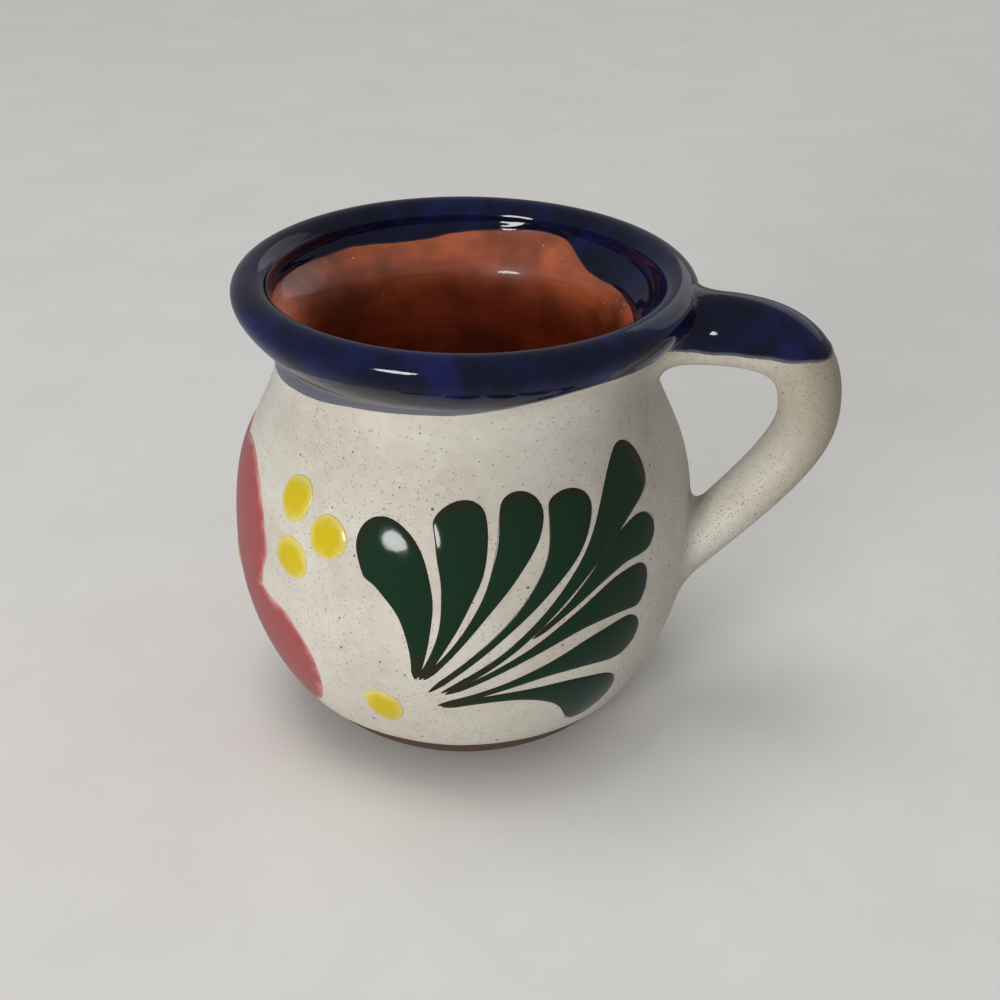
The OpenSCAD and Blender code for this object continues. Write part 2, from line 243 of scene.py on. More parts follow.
class Skin:
    """The clay's outline in the plane of radius and height, measured by the length along it."""

    STEP = 0.3 * MM
    SOFTEN = 9
    LIP_BAND = 6 * MM

    def __init__(self, body):
        lip_z = body.height - body.lip_rise
        a = np.linspace(0, math.pi / 2, 60)
        belly = np.column_stack([
            mix(body.foot_radius, body.belly_radius, np.sin(a) ** BELLY_ROUND_SHARE),
            body.belly_height * (1 - np.abs(np.cos(a)) ** BELLY_ROUND_SHARE),
        ])
        neck = [body.neck_radius, body.neck_height]
        shoulder = [
            [body.belly_radius, body.belly_height],
            [body.belly_radius, mix(body.belly_height, body.neck_height, SHOULDER_RISE_SHARE)],
            [
                mix(body.neck_radius, body.belly_radius, SHOULDER_IN_SHARE),
                mix(body.neck_height, body.belly_height, SHOULDER_FALL_SHARE),
            ],
            neck,
        ]
        flare = [
            neck,
            [
                mix(body.neck_radius, body.rim_radius, FLARE_OUT_SHARE),
                mix(body.neck_height, lip_z, FLARE_UP_SHARE),
            ],
            [body.rim_radius, mix(lip_z, body.neck_height, FLARE_TOP_SHARE)],
            [body.rim_radius, lip_z],
        ]
        bend = [bezier(shoulder, NECK_FROM_SHARE), neck, bezier(flare, NECK_TO_SHARE)]
        outside = np.vstack([
            belly,
            bezier(shoulder, np.linspace(0, NECK_FROM_SHARE, 50)[1:]),
            conic(bend, np.linspace(0, 1, 16)[1:]),
        ])
        up = bezier(flare, np.linspace(NECK_TO_SHARE, 1, 30)[1:])
        over = np.linspace(0, math.pi, 48)[1:]
        half = body.lip_width / 2
        lip = np.column_stack([
            body.rim_radius - half + half * np.cos(over), lip_z + body.lip_rise * np.sin(over)
        ])
        wall = mix(body.floor, body.wall, np.clip(np.arange(len(outside)) / len(belly), 0, 1))
        inside = outside - wall[:, None] * right_normals(outside)
        foot, way = inside[-1], unit(outside[-1] - outside[-2])
        lip_in = body.rim_radius - body.lip_width
        mouth = [[lip_in, lip_z], [lip_in, foot[1] + (lip_in - foot[0]) * way[1] / way[0]], foot]
        inside = inside[inside[:, 1] > body.floor]
        line = np.vstack([
            outside, up, lip, conic(mouth, np.linspace(0, 1, 12)[1:]), inside[-2::-1], [[0, body.floor]]
        ])
        run = np.r_[0, np.cumsum(np.linalg.norm(np.diff(line, axis=0), axis=1))]
        count = int(run[-1] / self.STEP)
        self.length = np.linspace(0, run[-1], count)
        self.line = np.column_stack([np.interp(self.length, run, line[:, i]) for i in (0, 1)])
        ends = [np.repeat(end, self.SOFTEN // 2, 0) for end in (self.line[:1], self.line[-1:])]
        soft = np.vstack([ends[0], self.line, ends[1]])
        window = np.full(self.SOFTEN, 1 / self.SOFTEN)
        soft = np.column_stack([np.convolve(soft[:, i], window, "valid") for i in (0, 1)])
        self.normal = right_normals(soft)
        self.total = run[-1]
        self.top = self.length[self.line[:, 1].argmax()]

    def outside(self, z):
        """The length at which the outside passes a height."""
        near = self.length <= self.top
        return np.interp(z, self.line[near, 1], self.length[near])

    def inside(self, z):
        """The length at which the inside passes a height."""
        near = self.length >= self.top
        return np.interp(-np.asarray(z), -self.line[near, 1], self.length[near])

    def flat(self, length, offset=0.0):
        """Radius and height at a length, a little way off the clay."""
        r, z, nr, nz = [
            np.interp(length, self.length, values)
            for values in (self.line[:, 0], self.line[:, 1], self.normal[:, 0], self.normal[:, 1])
        ]
        return r + offset * nr, z + offset * nz

    def point(self, length, angle, offset=0.0):
        """The same, turned to an angle round the axis."""
        r, z = self.flat(length, offset)
        r = np.maximum(r, 0)
        return np.column_stack([r * np.cos(angle), r * np.sin(angle), z + 0 * angle])

    def clearance(self, points, offset=0.0):
        """How far points lie outside a coat of that thickness, and the length that is nearest.

        Only the outside and the lip count, down to the lip's band inside."""
        near = np.flatnonzero(self.length < self.inside(BODY_HIGH.z - self.LIP_BAND))[::2]
        r, z = np.hypot(points[:, 0], points[:, 1]), points[:, 2]
        line, normal = self.line[near], self.normal[near]
        best = ((r[:, None] - line[None, :, 0]) ** 2 + (z[:, None] - line[None, :, 1]) ** 2).argmin(1)
        away = (r - line[best, 0]) * normal[best, 0] + (z - line[best, 1]) * normal[best, 1]
        return away - offset, self.length[near][best]


# The handle: shares that bend its centre line

START_SHARE = 0.7
ARM_SHARE = 0.75
TURN_SHARE = 0.96
DROP_SHARE = 0.24
RUN_IN_SHARE = 0.5
RUN_DOWN_SHARE = 0.53

# Where the potter's thumb pinched the coil on its near side, and how deep: its station along the
# coil, how fast it deepens and how far it reaches
PINCH = 0.55 * MM
PINCH_STATION = 0.19
PINCH_SLOPE = 0.06
PINCH_REACH = 0.2


class Coil:
    """The handle's centre line and section. Stations run from 0 at the lip to 2 at the belly."""

    def __init__(self, body, handle):
        x = body.belly_radius + handle.out
        start = [body.rim_radius - handle.top_thickness * START_SHARE, body.height - handle.top_drop]
        knee = [x, body.height - handle.knee_drop]
        end = [body.belly_radius - handle.bury, handle.end_height]
        self.over = [
            start,
            [mix(start[0], x, ARM_SHARE), start[1] + handle.lift],
            [x, mix(knee[1], start[1], TURN_SHARE)],
            knee,
        ]
        self.down = [
            knee,
            [x, mix(knee[1], end[1], DROP_SHARE)],
            [mix(x, end[0], RUN_IN_SHARE), mix(knee[1], end[1], RUN_DOWN_SHARE)],
            end,
        ]
        self.thickness = np.array([handle.top_thickness, handle.knee_thickness, handle.end_thickness])
        self.width = np.array([handle.top_width, handle.knee_width, handle.end_width])

    def centre(self, g):
        """The centre line at each station, as x and z."""
        g = np.asarray(g, float)
        over = bezier(self.over, np.clip(g, 0, 1))
        return np.where((g < 1)[..., None], over, bezier(self.down, np.clip(g - 1, 0, 1)))

    def frame(self, g):
        """Centre and the way out of the bend, in the handle's plane."""
        ahead, behind = np.minimum(g + SMALL_STEP, 2), np.maximum(g - SMALL_STEP, 0)
        way = unit(self.centre(ahead) - self.centre(behind))
        return self.centre(g), np.stack([-way[..., 1], way[..., 0]], -1)

    def point(self, g, a, grow=0.0):
        """A point on the coil's skin and the way out of it there."""
        g, a = np.broadcast_arrays(np.asarray(g, float), np.asarray(a, float))
        c, out = self.frame(g)
        high = (np.interp(g, [0, 1, 2], self.thickness / 2) + grow) * np.cos(a)
        past = g - PINCH_STATION
        pinch = PINCH * np.tanh(past / PINCH_SLOPE) * np.exp(-(past / PINCH_REACH) ** 2)
        half = np.interp(g, [0, 1, 2], self.width / 2) + pinch * np.maximum(np.sin(a), 0)
        wide = (half + grow) * np.sin(a)
        place = np.stack([c[..., 0] + out[..., 0] * high, -wide, c[..., 1] + out[..., 1] * high], -1)
        normal = np.stack([out[..., 0] * np.cos(a), -np.sin(a), out[..., 1] * np.cos(a)], -1)
        return place, unit(normal)


# Edges of the glaze, as angles from the handle in degrees and shares of the mug's height

OUTER_EDGE_SHARES = [
    (-180, 0.806), (-165, 0.808), (-150, 0.815), (-137, 0.826), (-125, 0.836), (-109, 0.851),
    (-98, 0.859), (-77, 0.873), (-61, 0.902), (-46, 0.918), (-33, 0.914), (-16, 0.895),
    (0, 0.883), (18, 0.896), (40, 0.915), (60, 0.903), (82, 0.875), (104, 0.86),
    (126, 0.842), (152, 0.82),
]
INNER_EDGE_SHARES = [
    (-177, 0.942), (-140, 0.944), (-100, 0.938), (-60, 0.93), (-25, 0.9), (0, 0.884),
    (12, 0.886), (23, 0.893), (35, 0.897), (49, 0.9), (54.5, 0.907), (60, 0.923), (66, 0.945),
    (72, 0.951), (86, 0.945), (97, 0.94), (105, 0.935), (115, 0.927), (138, 0.933),
    (153, 0.936), (170, 0.94),
]


def round_edge(shares, angle, height):
    """Height of an edge at each angle: a closed curve through the shares."""
    at = np.array([p[0] for p in shares], float)
    share = np.array([p[1] for p in shares], float)
    at = np.r_[at[-2:] - 360, at, at[:3] + 360]
    share = np.r_[share[-2:], share, share[:3]]
    degrees = (np.degrees(angle) + 180) % 360 - 180
    slope = np.gradient(share, at)
    k = np.clip(np.searchsorted(at, degrees) - 1, 0, len(at) - 2)
    span = at[k + 1] - at[k]
    t = (degrees - at[k]) / span
    rise = (
        (2 * t ** 3 - 3 * t ** 2 + 1) * share[k] + (t ** 3 - 2 * t ** 2 + t) * span * slope[k]
        + (3 * t ** 2 - 2 * t ** 3) * share[k + 1] + (t ** 3 - t ** 2) * span * slope[k + 1]
    )
    return rise * height


# A coat's edge: how wide it rounds off, the low bead behind it, the hair's breadth between it and
# the slip's face, how far a glaze's base clears the clay, and how far a coat runs on under the next

EDGE_ROLL = 0.9 * MM
BEAD = 0.1 * MM
HAIR = 0.03 * MM
BASE_CLEAR = 0.02 * MM
COAT_OVERLAP = 1.2 * MM


def rolled(from_edge, coats):
    """How far off the clay a glaze's face lies, by the distance from its edge."""
    swell = np.sqrt(1 - (1 - np.clip(from_edge / EDGE_ROLL, 0, 1)) ** 2)
    bead = BEAD * np.exp(-((from_edge / MM - 1.1) / 0.7) ** 2)
    return mix(coats.slip + HAIR, coats.glaze, swell) + bead * swell


def waver(angle, size, seed):
    """A small irregular wave round the axis, which closes on itself."""
    wave = sum(
        math.cos(seed * k) * np.sin(k * angle + seed * k * k) / k ** 0.5 for k in (7, 11, 17, 29, 43)
    )
    return size * wave / 1.6


# Modelling helpers

# Points closer than this are one point, and edges sharper than a crease stay sharp, in degrees
SEAM = 0.004 * MM
CREASE = 50
SOFT_CREASE = 80


def begin(name):
    """Takes the new primitive, which is the active object, by a name of its own."""
    piece = bpy.context.object
    piece.name = name
    piece.data.name = name
    return piece


def alone(piece):
    """Selects this piece and no other."""
    bpy.ops.object.select_all(action="DESELECT")
    piece.select_set(True)
    bpy.context.view_layer.objects.active = piece


def in_edit(piece):
    """Opens a piece for editing with all of it selected."""
    alone(piece)
    bpy.ops.object.mode_set(mode="EDIT")
    bpy.ops.mesh.select_all(action="SELECT")


def corners(piece):
    """All the vertices of a piece, as rows of x, y and z."""
    flat = np.empty(len(piece.data.vertices) * 3)
    piece.data.vertices.foreach_get("co", flat)
    return flat.reshape(-1, 3)


def settle(piece, places):
    """Moves each vertex to its place, closes seams and poles, and turns the faces outwards."""
    if not np.isfinite(places).all():
        raise RuntimeError(f"{piece.name} has points that could not be placed")
    piece.data.vertices.foreach_set("co", np.ascontiguousarray(places, float).ravel())
    piece.data.update()
    in_edit(piece)
    bpy.ops.mesh.remove_doubles(threshold=SEAM)
    bpy.ops.mesh.normals_make_consistent(inside=False)
    bpy.ops.object.mode_set(mode="OBJECT")


def carry(piece, name, values):
    """Keeps a value at each vertex, for the finish to read."""
    layer = piece.data.attributes.new(name, "FLOAT", "POINT")
    layer.data.foreach_set("value", np.ascontiguousarray(values, np.float32))


def finish_piece(piece, material, nodes, crease=CREASE):
    """Smooths a piece, gives it its finish and puts it on the frame in place of CAD nodes."""
    alone(piece)
    bpy.ops.object.shade_smooth_by_angle(angle=math.radians(crease))
    piece.data.materials.clear()
    piece.data.materials.append(material)
    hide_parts(*nodes)
    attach(piece, ROOT)


def spin_outline(name, line, steps, closed=True):
    """Draws a line of radius and height corner by corner and spins it round the axis.

    Gives the piece, and for each vertex its row in the line and its angle."""
    bpy.ops.object.select_all(action="DESELECT")
    bpy.ops.mesh.primitive_plane_add(size=MM, location=(0, 0, 0))
    piece = begin(name)
    in_edit(piece)
    bpy.ops.mesh.merge(type="CENTER")
    bpy.ops.transform.translate(value=(line[0][0], 0, line[0][1]))
    steps_on = list(zip(line[:-1], line[1:]))
    if closed:
        steps_on.append((line[-1], line[0]))
    for here, there in steps_on:
        bpy.ops.mesh.extrude_vertices_move(
            TRANSFORM_OT_translate={"value": (there[0] - here[0], 0, there[1] - here[1])}
        )
    bpy.ops.mesh.select_all(action="SELECT")
    bpy.ops.mesh.remove_doubles(threshold=SEAM)
    bpy.ops.mesh.spin(steps=steps, angle=2 * math.pi, center=(0, 0, 0), axis=(0, 0, 1))
    bpy.ops.mesh.select_all(action="SELECT")
    bpy.ops.mesh.remove_doubles(threshold=SEAM)
    bpy.ops.object.mode_set(mode="OBJECT")
    at = corners(piece)
    line = np.asarray(line, float)
    r = np.hypot(at[:, 0], at[:, 1])
    rows = ((r[:, None] - line[None, :, 0]) ** 2 + (at[:, 2][:, None] - line[None, :, 1]) ** 2).argmin(1)
    return piece, rows, np.arctan2(at[:, 1], at[:, 0])


def straight_rod(name, sides, steps):
    """Extrudes a filled ring into a straight rod, one millimetre a step."""
    bpy.ops.object.select_all(action="DESELECT")
    bpy.ops.mesh.primitive_circle_add(vertices=sides, radius=MM, fill_type="NGON", location=(0, 0, 0))
    piece = begin(name)
    in_edit(piece)
    for _ in range(steps):
        bpy.ops.mesh.extrude_region_move(TRANSFORM_OT_translate={"value": (0, 0, MM)})
    bpy.ops.object.mode_set(mode="OBJECT")
    return piece


PUDDLE_SIDES = 88
PUDDLE_INSETS = (0.02, 0.03, 0.04, 0.06, 0.08, 0.1, 0.12, 0.14, 0.14, 0.13)


def puddle(name):
    """A flat round drop of radius 1 with rings in its top, and its base one lower."""
    bpy.ops.object.select_all(action="DESELECT")
    bpy.ops.mesh.primitive_circle_add(vertices=PUDDLE_SIDES, radius=1, fill_type="NGON", location=(0, 0, 0))
    piece = begin(name)
    in_edit(piece)
    bpy.ops.mesh.extrude_region_move(TRANSFORM_OT_translate={"value": (0, 0, 1)})
    for step in PUDDLE_INSETS:
        bpy.ops.mesh.inset(thickness=step, depth=0)
    bpy.ops.mesh.poke()
    bpy.ops.mesh.select_all(action="SELECT")
    bpy.ops.transform.translate(value=(0, 0, -1))
    bpy.ops.object.mode_set(mode="OBJECT")
    return piece


def another(piece, name):
    """A copy of a piece with a mesh of its own."""
    alone(piece)
    bpy.ops.object.duplicate(linked=False)
    return begin(name)


# Shaders

CREAM_ROUGHNESS = 0.56
COBALT_ROUGHNESS = 0.07
COBALT_IOR = 1.36
SLIP_SPECKS = 0.55


class Nodes:
    """A shader tree that is being built, and the place on the piece that its patterns follow."""

    def __init__(self, tree, where):
        self.tree = tree
        self.where = where

    def feed(self, socket, value):
        """Joins a socket to another one, or sets its level or its colour."""
        if isinstance(value, bpy.types.NodeSocket):
            self.tree.links.new(value, socket)
        elif socket.type == "RGBA":
            socket.default_value = (*value, 1)
        else:
            socket.default_value = value

    def add(self, kind, fed, **options):
        """A new node with its options set, then its inputs fed by name or number."""
        made = self.tree.nodes.new(kind)
        for name, value in options.items():
            setattr(made, name, value)
        for name, value in fed.items():
            self.feed(made.inputs[name], value)
        return made

    def maths(self, operation, a, b):
        """The result of one operation on two numbers."""
        return self.add("ShaderNodeMath", {0: a, 1: b}, operation=operation).outputs[0]

    def times(self, a, b):
        """One number times another."""
        return self.maths("MULTIPLY", a, b)

    def blend(self, factor, a, b):
        """The first colour where the factor is 0, the second where it is 1."""
        return self.add("ShaderNodeMix", {0: factor, 6: a, 7: b}, data_type="RGBA").outputs[2]

    def from_to(self, value, low, high, to_low=0.0, to_high=1.0, soft=True):
        """Maps a value from one range to another, held at the ends."""
        fed = {0: value, 1: low, 2: high, 3: to_low, 4: to_high}
        curve = "SMOOTHSTEP" if soft else "LINEAR"
        return self.add("ShaderNodeMapRange", fed, interpolation_type=curve).outputs[0]

    def noise(self, scale, detail=2.0, roughness=0.5, distortion=0.0, where=None):
        """A level that drifts from place to place."""
        fed = {
            "Vector": self.where if where is None else where, "Scale": scale, "Detail": detail,
            "Roughness": roughness, "Distortion": distortion,
        }
        return self.add("ShaderNodeTexNoise", fed).outputs["Fac"]

    def specks(self, spacing, share, size):
        """Where specks lie, by how close they stand, how many are left in and how large they are."""
        fed = {"Vector": self.where, "Spacing": spacing, "Share": share, "Size": size}
        return self.add("ShaderNodeGroup", fed, node_tree=speck_group()).outputs[0]


def speck_group():
    """Round specks scattered over the surface: few, and each of its own size."""
    name = "scattered specks"
    if name in bpy.data.node_groups:
        return bpy.data.node_groups[name]
    tree = bpy.data.node_groups.new(name, "ShaderNodeTree")
    tree.interface.new_socket("Vector", in_out="INPUT", socket_type="NodeSocketVector")
    for title, level in (("Spacing", 700.0), ("Share", 0.3), ("Size", 0.2)):
        socket = tree.interface.new_socket(title, in_out="INPUT", socket_type="NodeSocketFloat")
        socket.default_value = level
    tree.interface.new_socket("Mask", in_out="OUTPUT", socket_type="NodeSocketFloat")
    start, end = tree.nodes.new("NodeGroupInput"), tree.nodes.new("NodeGroupOutput")
    nodes = Nodes(tree, start.outputs["Vector"])
    cells = nodes.add("ShaderNodeTexVoronoi", {"Vector": nodes.where, "Scale": start.outputs["Spacing"]})
    parts = nodes.add("ShaderNodeSeparateColor", {0: cells.outputs["Color"]})
    chosen = nodes.maths("LESS_THAN", parts.outputs[0], start.outputs["Share"])
    size = nodes.maths("ADD", nodes.times(parts.outputs[1], start.outputs["Size"]), 0.06)
    gone = nodes.maths("DIVIDE", cells.outputs["Distance"], size)
    dot = nodes.from_to(gone, 0.75, 1.1, 1, 0)
    nodes.feed(end.inputs["Mask"], nodes.times(dot, chosen))
    return tree


class Look(Nodes):
    """A material that is being built."""

    def __init__(self, name, roughness, coat=0.0, coat_roughness=0.05, ior=1.45):
        self.material = bpy.data.materials.new(name)
        self.material.use_nodes = True
        tree = self.material.node_tree
        super().__init__(tree, tree.nodes.new("ShaderNodeTexCoord").outputs["Object"])
        self.shader = next(n for n in tree.nodes if n.type == "BSDF_PRINCIPLED")
        self.shade("Roughness", roughness)
        self.shade("IOR", ior)
        self.shade("Coat Weight", coat)
        self.shade("Coat Roughness", coat_roughness)

    def shade(self, name, value):
        """Feeds one input of the material's shader."""
        self.feed(self.shader.inputs[name], value)

    def bump(self, height, strength, depth):
        """Lets a height ruffle the surface."""
        fed = {"Height": height, "Strength": strength, "Distance": depth}
        self.shade("Normal", self.add("ShaderNodeBump", fed).outputs["Normal"])

    def carried(self, name):
        """The value that a piece's vertices carry."""
        return self.add("ShaderNodeAttribute", {}, attribute_name=name).outputs["Fac"]

    def cream(self, speck_share):
        """The slip's mottled colour with its specks, and the height of its grain."""
        colours = settings("colours")
        fine = self.noise(420, 4, 0.65)
        tone = self.from_to(self.noise(42, 3, 0.6), 0.36, 0.68)
        base = self.blend(self.times(tone, 0.6), colours.cream_thin, colours.cream)
        grain = self.from_to(fine, 0.3, 0.72)
        base = self.blend(self.times(grain, 0.42), base, colours.cream)
        worn = self.from_to(self.noise(900, 3, 0.7), 0.56, 0.74)
        base = self.blend(self.times(worn, 0.5), base, colours.cream_thin)
        crowd = self.from_to(self.noise(70), 0.35, 0.7, 0.35 * speck_share, 1.5 * speck_share)
        small = self.times(self.specks(2100.0, crowd, 0.32), 0.62)
        large = self.times(self.specks(640.0, 0.1, 0.15), 0.85)
        specks = self.maths("MAXIMUM", small, large)
        height = self.maths("SUBTRACT", fine, self.times(specks, 0.5))
        return self.blend(specks, base, colours.speck), height

    def cobalt(self, depth):
        """The glaze's colour by its depth: grey where it runs out, and patches of blue and near
        black where it is deep."""
        colours = settings("colours")
        pool = self.from_to(self.noise(90, 3, 0.6, 0.6), 0.36, 0.95)
        deep = self.blend(pool, colours.cobalt, colours.cobalt_bright)
        return self.blend(self.from_to(depth, 0.3, 1), colours.cobalt_thin, deep)


def cream_finish(name="cream slip", speck_share=SLIP_SPECKS, stain_and_shade=0.0):
    """The slip. On the handle it darkens outwards and from the middle of the mug's height up to the glaze:
    painted shade, together with slip browned where it runs thin.
    """
    body = settings("body")
    look = Look(name, CREAM_ROUGHNESS)
    base, height = look.cream(speck_share)
    # Painted shade with some browned slip: darker outwards and upwards on the handle
    if stain_and_shade:
        apart = look.add("ShaderNodeSeparateXYZ", {0: look.where})
        rise = look.from_to(apart.outputs["Z"], 0.4 * body.height, 0.8 * body.height, 0, stain_and_shade)
        out = look.from_to(apart.outputs["X"], 1.2 * body.belly_radius, 1.5 * body.belly_radius)
        base = look.blend(look.times(rise, out), base, settings("colours").cream_stain_and_shade)
    look.shade("Base Color", base)
    look.bump(height, 0.25, 0.25 * MM)
    return look.material


def cobalt_finish():
    """The glaze, with a pale line where a piece carries wear: a painted highlight on the lip's inner edge,
    together with glaze breaking thin there.
    """
    look = Look("cobalt glaze", COBALT_ROUGHNESS, ior=COBALT_IOR)
    patches = look.from_to(look.noise(160), 0.3, 0.5, 0.2, 0.85)
    # The pale line is a painted highlight together with thin glaze
    worn_highlight_line = look.times(look.carried("worn"), patches)
    blue = look.cobalt(look.carried("depth"))
    look.shade("Base Color", look.blend(worn_highlight_line, blue, settings("colours").cobalt_worn_highlight))
    look.bump(look.noise(260, 3, 0.55), 0.16, 0.3 * MM)
    return look.material


def joint_finish():
    """Cobalt above the glaze's edge and cream below it, on one smeared joint."""
    look = Look("luted joint", 0.3, ior=COBALT_IOR)
    above = look.carried("above")
    wander = look.from_to(look.noise(500, 3), 0.2, 0.8, -0.12, 0.12, soft=False)
    mask = look.from_to(look.maths("ADD", above, wander), -0.08, 0.08)
    cream, _ = look.cream(SLIP_SPECKS)
    blue = look.cobalt(look.from_to(above, 0, 0.9))
    look.shade("Base Color", look.blend(mask, cream, blue))
    look.shade("Roughness", look.from_to(mask, 0, 1, CREAM_ROUGHNESS, COBALT_ROUGHNESS, soft=False))
    return look.material


def clay_finish():
    """Bare terracotta: rough, in two tones and with pale specks."""
    colours = settings("colours")
    look = Look("bare terracotta", 0.8)
    tone = look.from_to(look.noise(260, 4, 0.6), 0.3, 0.7)
    base = look.blend(tone, colours.speck, colours.clay)
    pale = look.specks(600.0, 0.2, 0.16)
    look.shade("Base Color", look.blend(look.times(pale, 0.6), base, colours.cream_thin))
    look.bump(look.noise(1400, 3, 0.7), 0.5, 0.2 * MM)
    return look.material


def glossed_clay_finish():
    """Terracotta under clear gloss: turning rings, and pale specks that crowd at its edge."""
    colours = settings("colours")
    look = Look("glossed terracotta", 0.36, 0.45, 0.06)
    drawn_out = look.add("ShaderNodeMapping", {0: look.where, "Scale": (0.08, 0.08, 1)})
    rings = look.noise(700, 2, 0.6, where=drawn_out.outputs[0])
    broad = look.from_to(look.noise(60, 3, 0.6), 0.32, 0.66)
    base = look.blend(broad, colours.clay_deep, colours.clay_glossed)
    lines = look.times(look.from_to(rings, 0.45, 0.75), 0.3)
    base = look.blend(lines, base, colours.clay_deep)
    crowd = look.from_to(look.carried("depth"), 0, 1, 0.34, 0.05)
    pale = look.specks(700.0, crowd, 0.14)
    look.shade("Base Color", look.blend(look.times(pale, 0.5), base, colours.cream))
    height = look.maths("ADD", look.times(rings, 0.6), look.noise(240, 3, 0.6))
    look.bump(height, 0.16, 0.3 * MM)
    return look.material


# For each stroke's finish: the name of its colour, its roughness and coat, the depths between
# which the edge's colour gives way to its own, and how unevenly it does
STROKE_LOOKS = {
    "green stroke": ("green", 0.1, 0, 0.12, 0.5, 0.25),
    "yellow dot": ("yellow", 0.22, 0.2, 0.3, 0.95, 0.4),
    "red petal": ("red", 0.3, 0.15, 0.1, 0.45, 0.3),
}


def stroke_finish(name):
    """A raised stroke: its own colour where it is deep and its edge colour where it runs out."""
    pigment, roughness, coat, thin, full, streak = STROKE_LOOKS[name]
    colours = settings("colours")
    look = Look(name, roughness, coat, 0.04, 1.33)
    uneven = look.from_to(look.noise(380, 3, 0.6), 0.25, 0.75, -streak / 2, streak / 2, soft=False)
    level = look.from_to(look.maths("ADD", look.carried("depth"), uneven), thin, full)
    edge, deep = getattr(colours, pigment + "_edge"), getattr(colours, pigment)
    look.shade("Base Color", look.blend(level, edge, deep))
    look.bump(look.noise(300), 0.14, 0.3 * MM)
    return look.material


def floor_finish():
    """A pale matt floor with a faint mottle."""
    colours = settings("colours")
    look = Look("studio floor", 0.75)
    tone = look.from_to(look.noise(30, 4, 0.6), 0.3, 0.7, 0, 0.08)
    look.shade("Base Color", look.blend(tone, colours.floor, colours.cream_thin))
    return look.material


# The clay body and the coats that go round it

BODY_STEPS = 192
RIM_STEPS = 288
CLAY_SPACING = 1.5 * MM
COAT_SPACING = 1.2 * MM
# Shares of the mug's height at which the coats are spun, before their edges are bent
SLIP_TOP_SHARE = 0.87
RIM_OUTSIDE_SHARE = 0.86
RIM_INSIDE_SHARE = 0.93


def facing(angles, middle, least, fade):
    """1 on the side that faces an angle and 0 on the other, by the cosine between them."""
    return smooth_step((np.cos(angles - middle) - least) / fade)


def lengths_between(start, end, spacing):
    """Lengths from start to end, about that far apart."""
    return np.linspace(start, end, max(2, int(abs(end - start) / spacing) + 1))


class JARRITO_OT_turn_body(bpy.types.Operator):
    """Turns the clay body from its outline"""

    bl_idname = "jarrito.turn_body"
    bl_label = "Turn clay body"
    bl_options = {"REGISTER", "UNDO"}

    def execute(self, context):
        skin = Skin(settings("body"))
        along = lengths_between(0, skin.total, CLAY_SPACING)
        line = np.vstack([[[0, 0]], np.column_stack(skin.flat(along))])
        line[-1] = (0, settings("body").floor)
        piece, _, _ = spin_outline("thrown_body", line, BODY_STEPS, closed=False)
        settle(piece, corners(piece))
        finish_piece(piece, clay_finish(), ["clay_body"])
        return {"FINISHED"}


class JARRITO_OT_dip_slip(bpy.types.Operator):
    """Coats the outside of the body in cream slip, from the bare foot up to under the glaze"""

    bl_idname = "jarrito.dip_slip"
    bl_label = "Dip body in slip"
    bl_options = {"REGISTER", "UNDO"}

    # How wide the coat rounds off at the foot, and the share of its thickness that it starts with
    FOOT_ROLL = 0.5 * MM
    THINNEST = 0.15

    def execute(self, context):
        body, coats = settings("body"), settings("coats")
        skin = Skin(body)
        top = skin.outside(SLIP_TOP_SHARE * body.height)
        foot = skin.outside(coats.bare_foot)
        outer = lengths_between(foot, top, COAT_SPACING)
        inner = outer[::-4]
        line = np.vstack([
            np.column_stack(skin.flat(outer, coats.slip)), np.column_stack(skin.flat(inner, 0))
        ])
        piece, rows, angles = spin_outline("cream_coat", line, BODY_STEPS)
        start = skin.outside(coats.bare_foot + waver(angles, 0.35 * MM, 2.3))
        end = skin.outside(round_edge(OUTER_EDGE_SHARES, angles, body.height)) + COAT_OVERLAP
        face = np.linspace(0, 1, len(outer))
        length = mix(start, end, np.r_[face, face[::-4]][rows])
        edge = np.sqrt(np.clip((length - start) / self.FOOT_ROLL, 0, 1))
        offset = np.where(rows < len(outer), coats.slip * np.maximum(edge, self.THINNEST), 0)
        settle(piece, skin.point(length, angles, offset))
        finish_piece(piece, cream_finish(), ["body_slip_coat"])
        return {"FINISHED"}


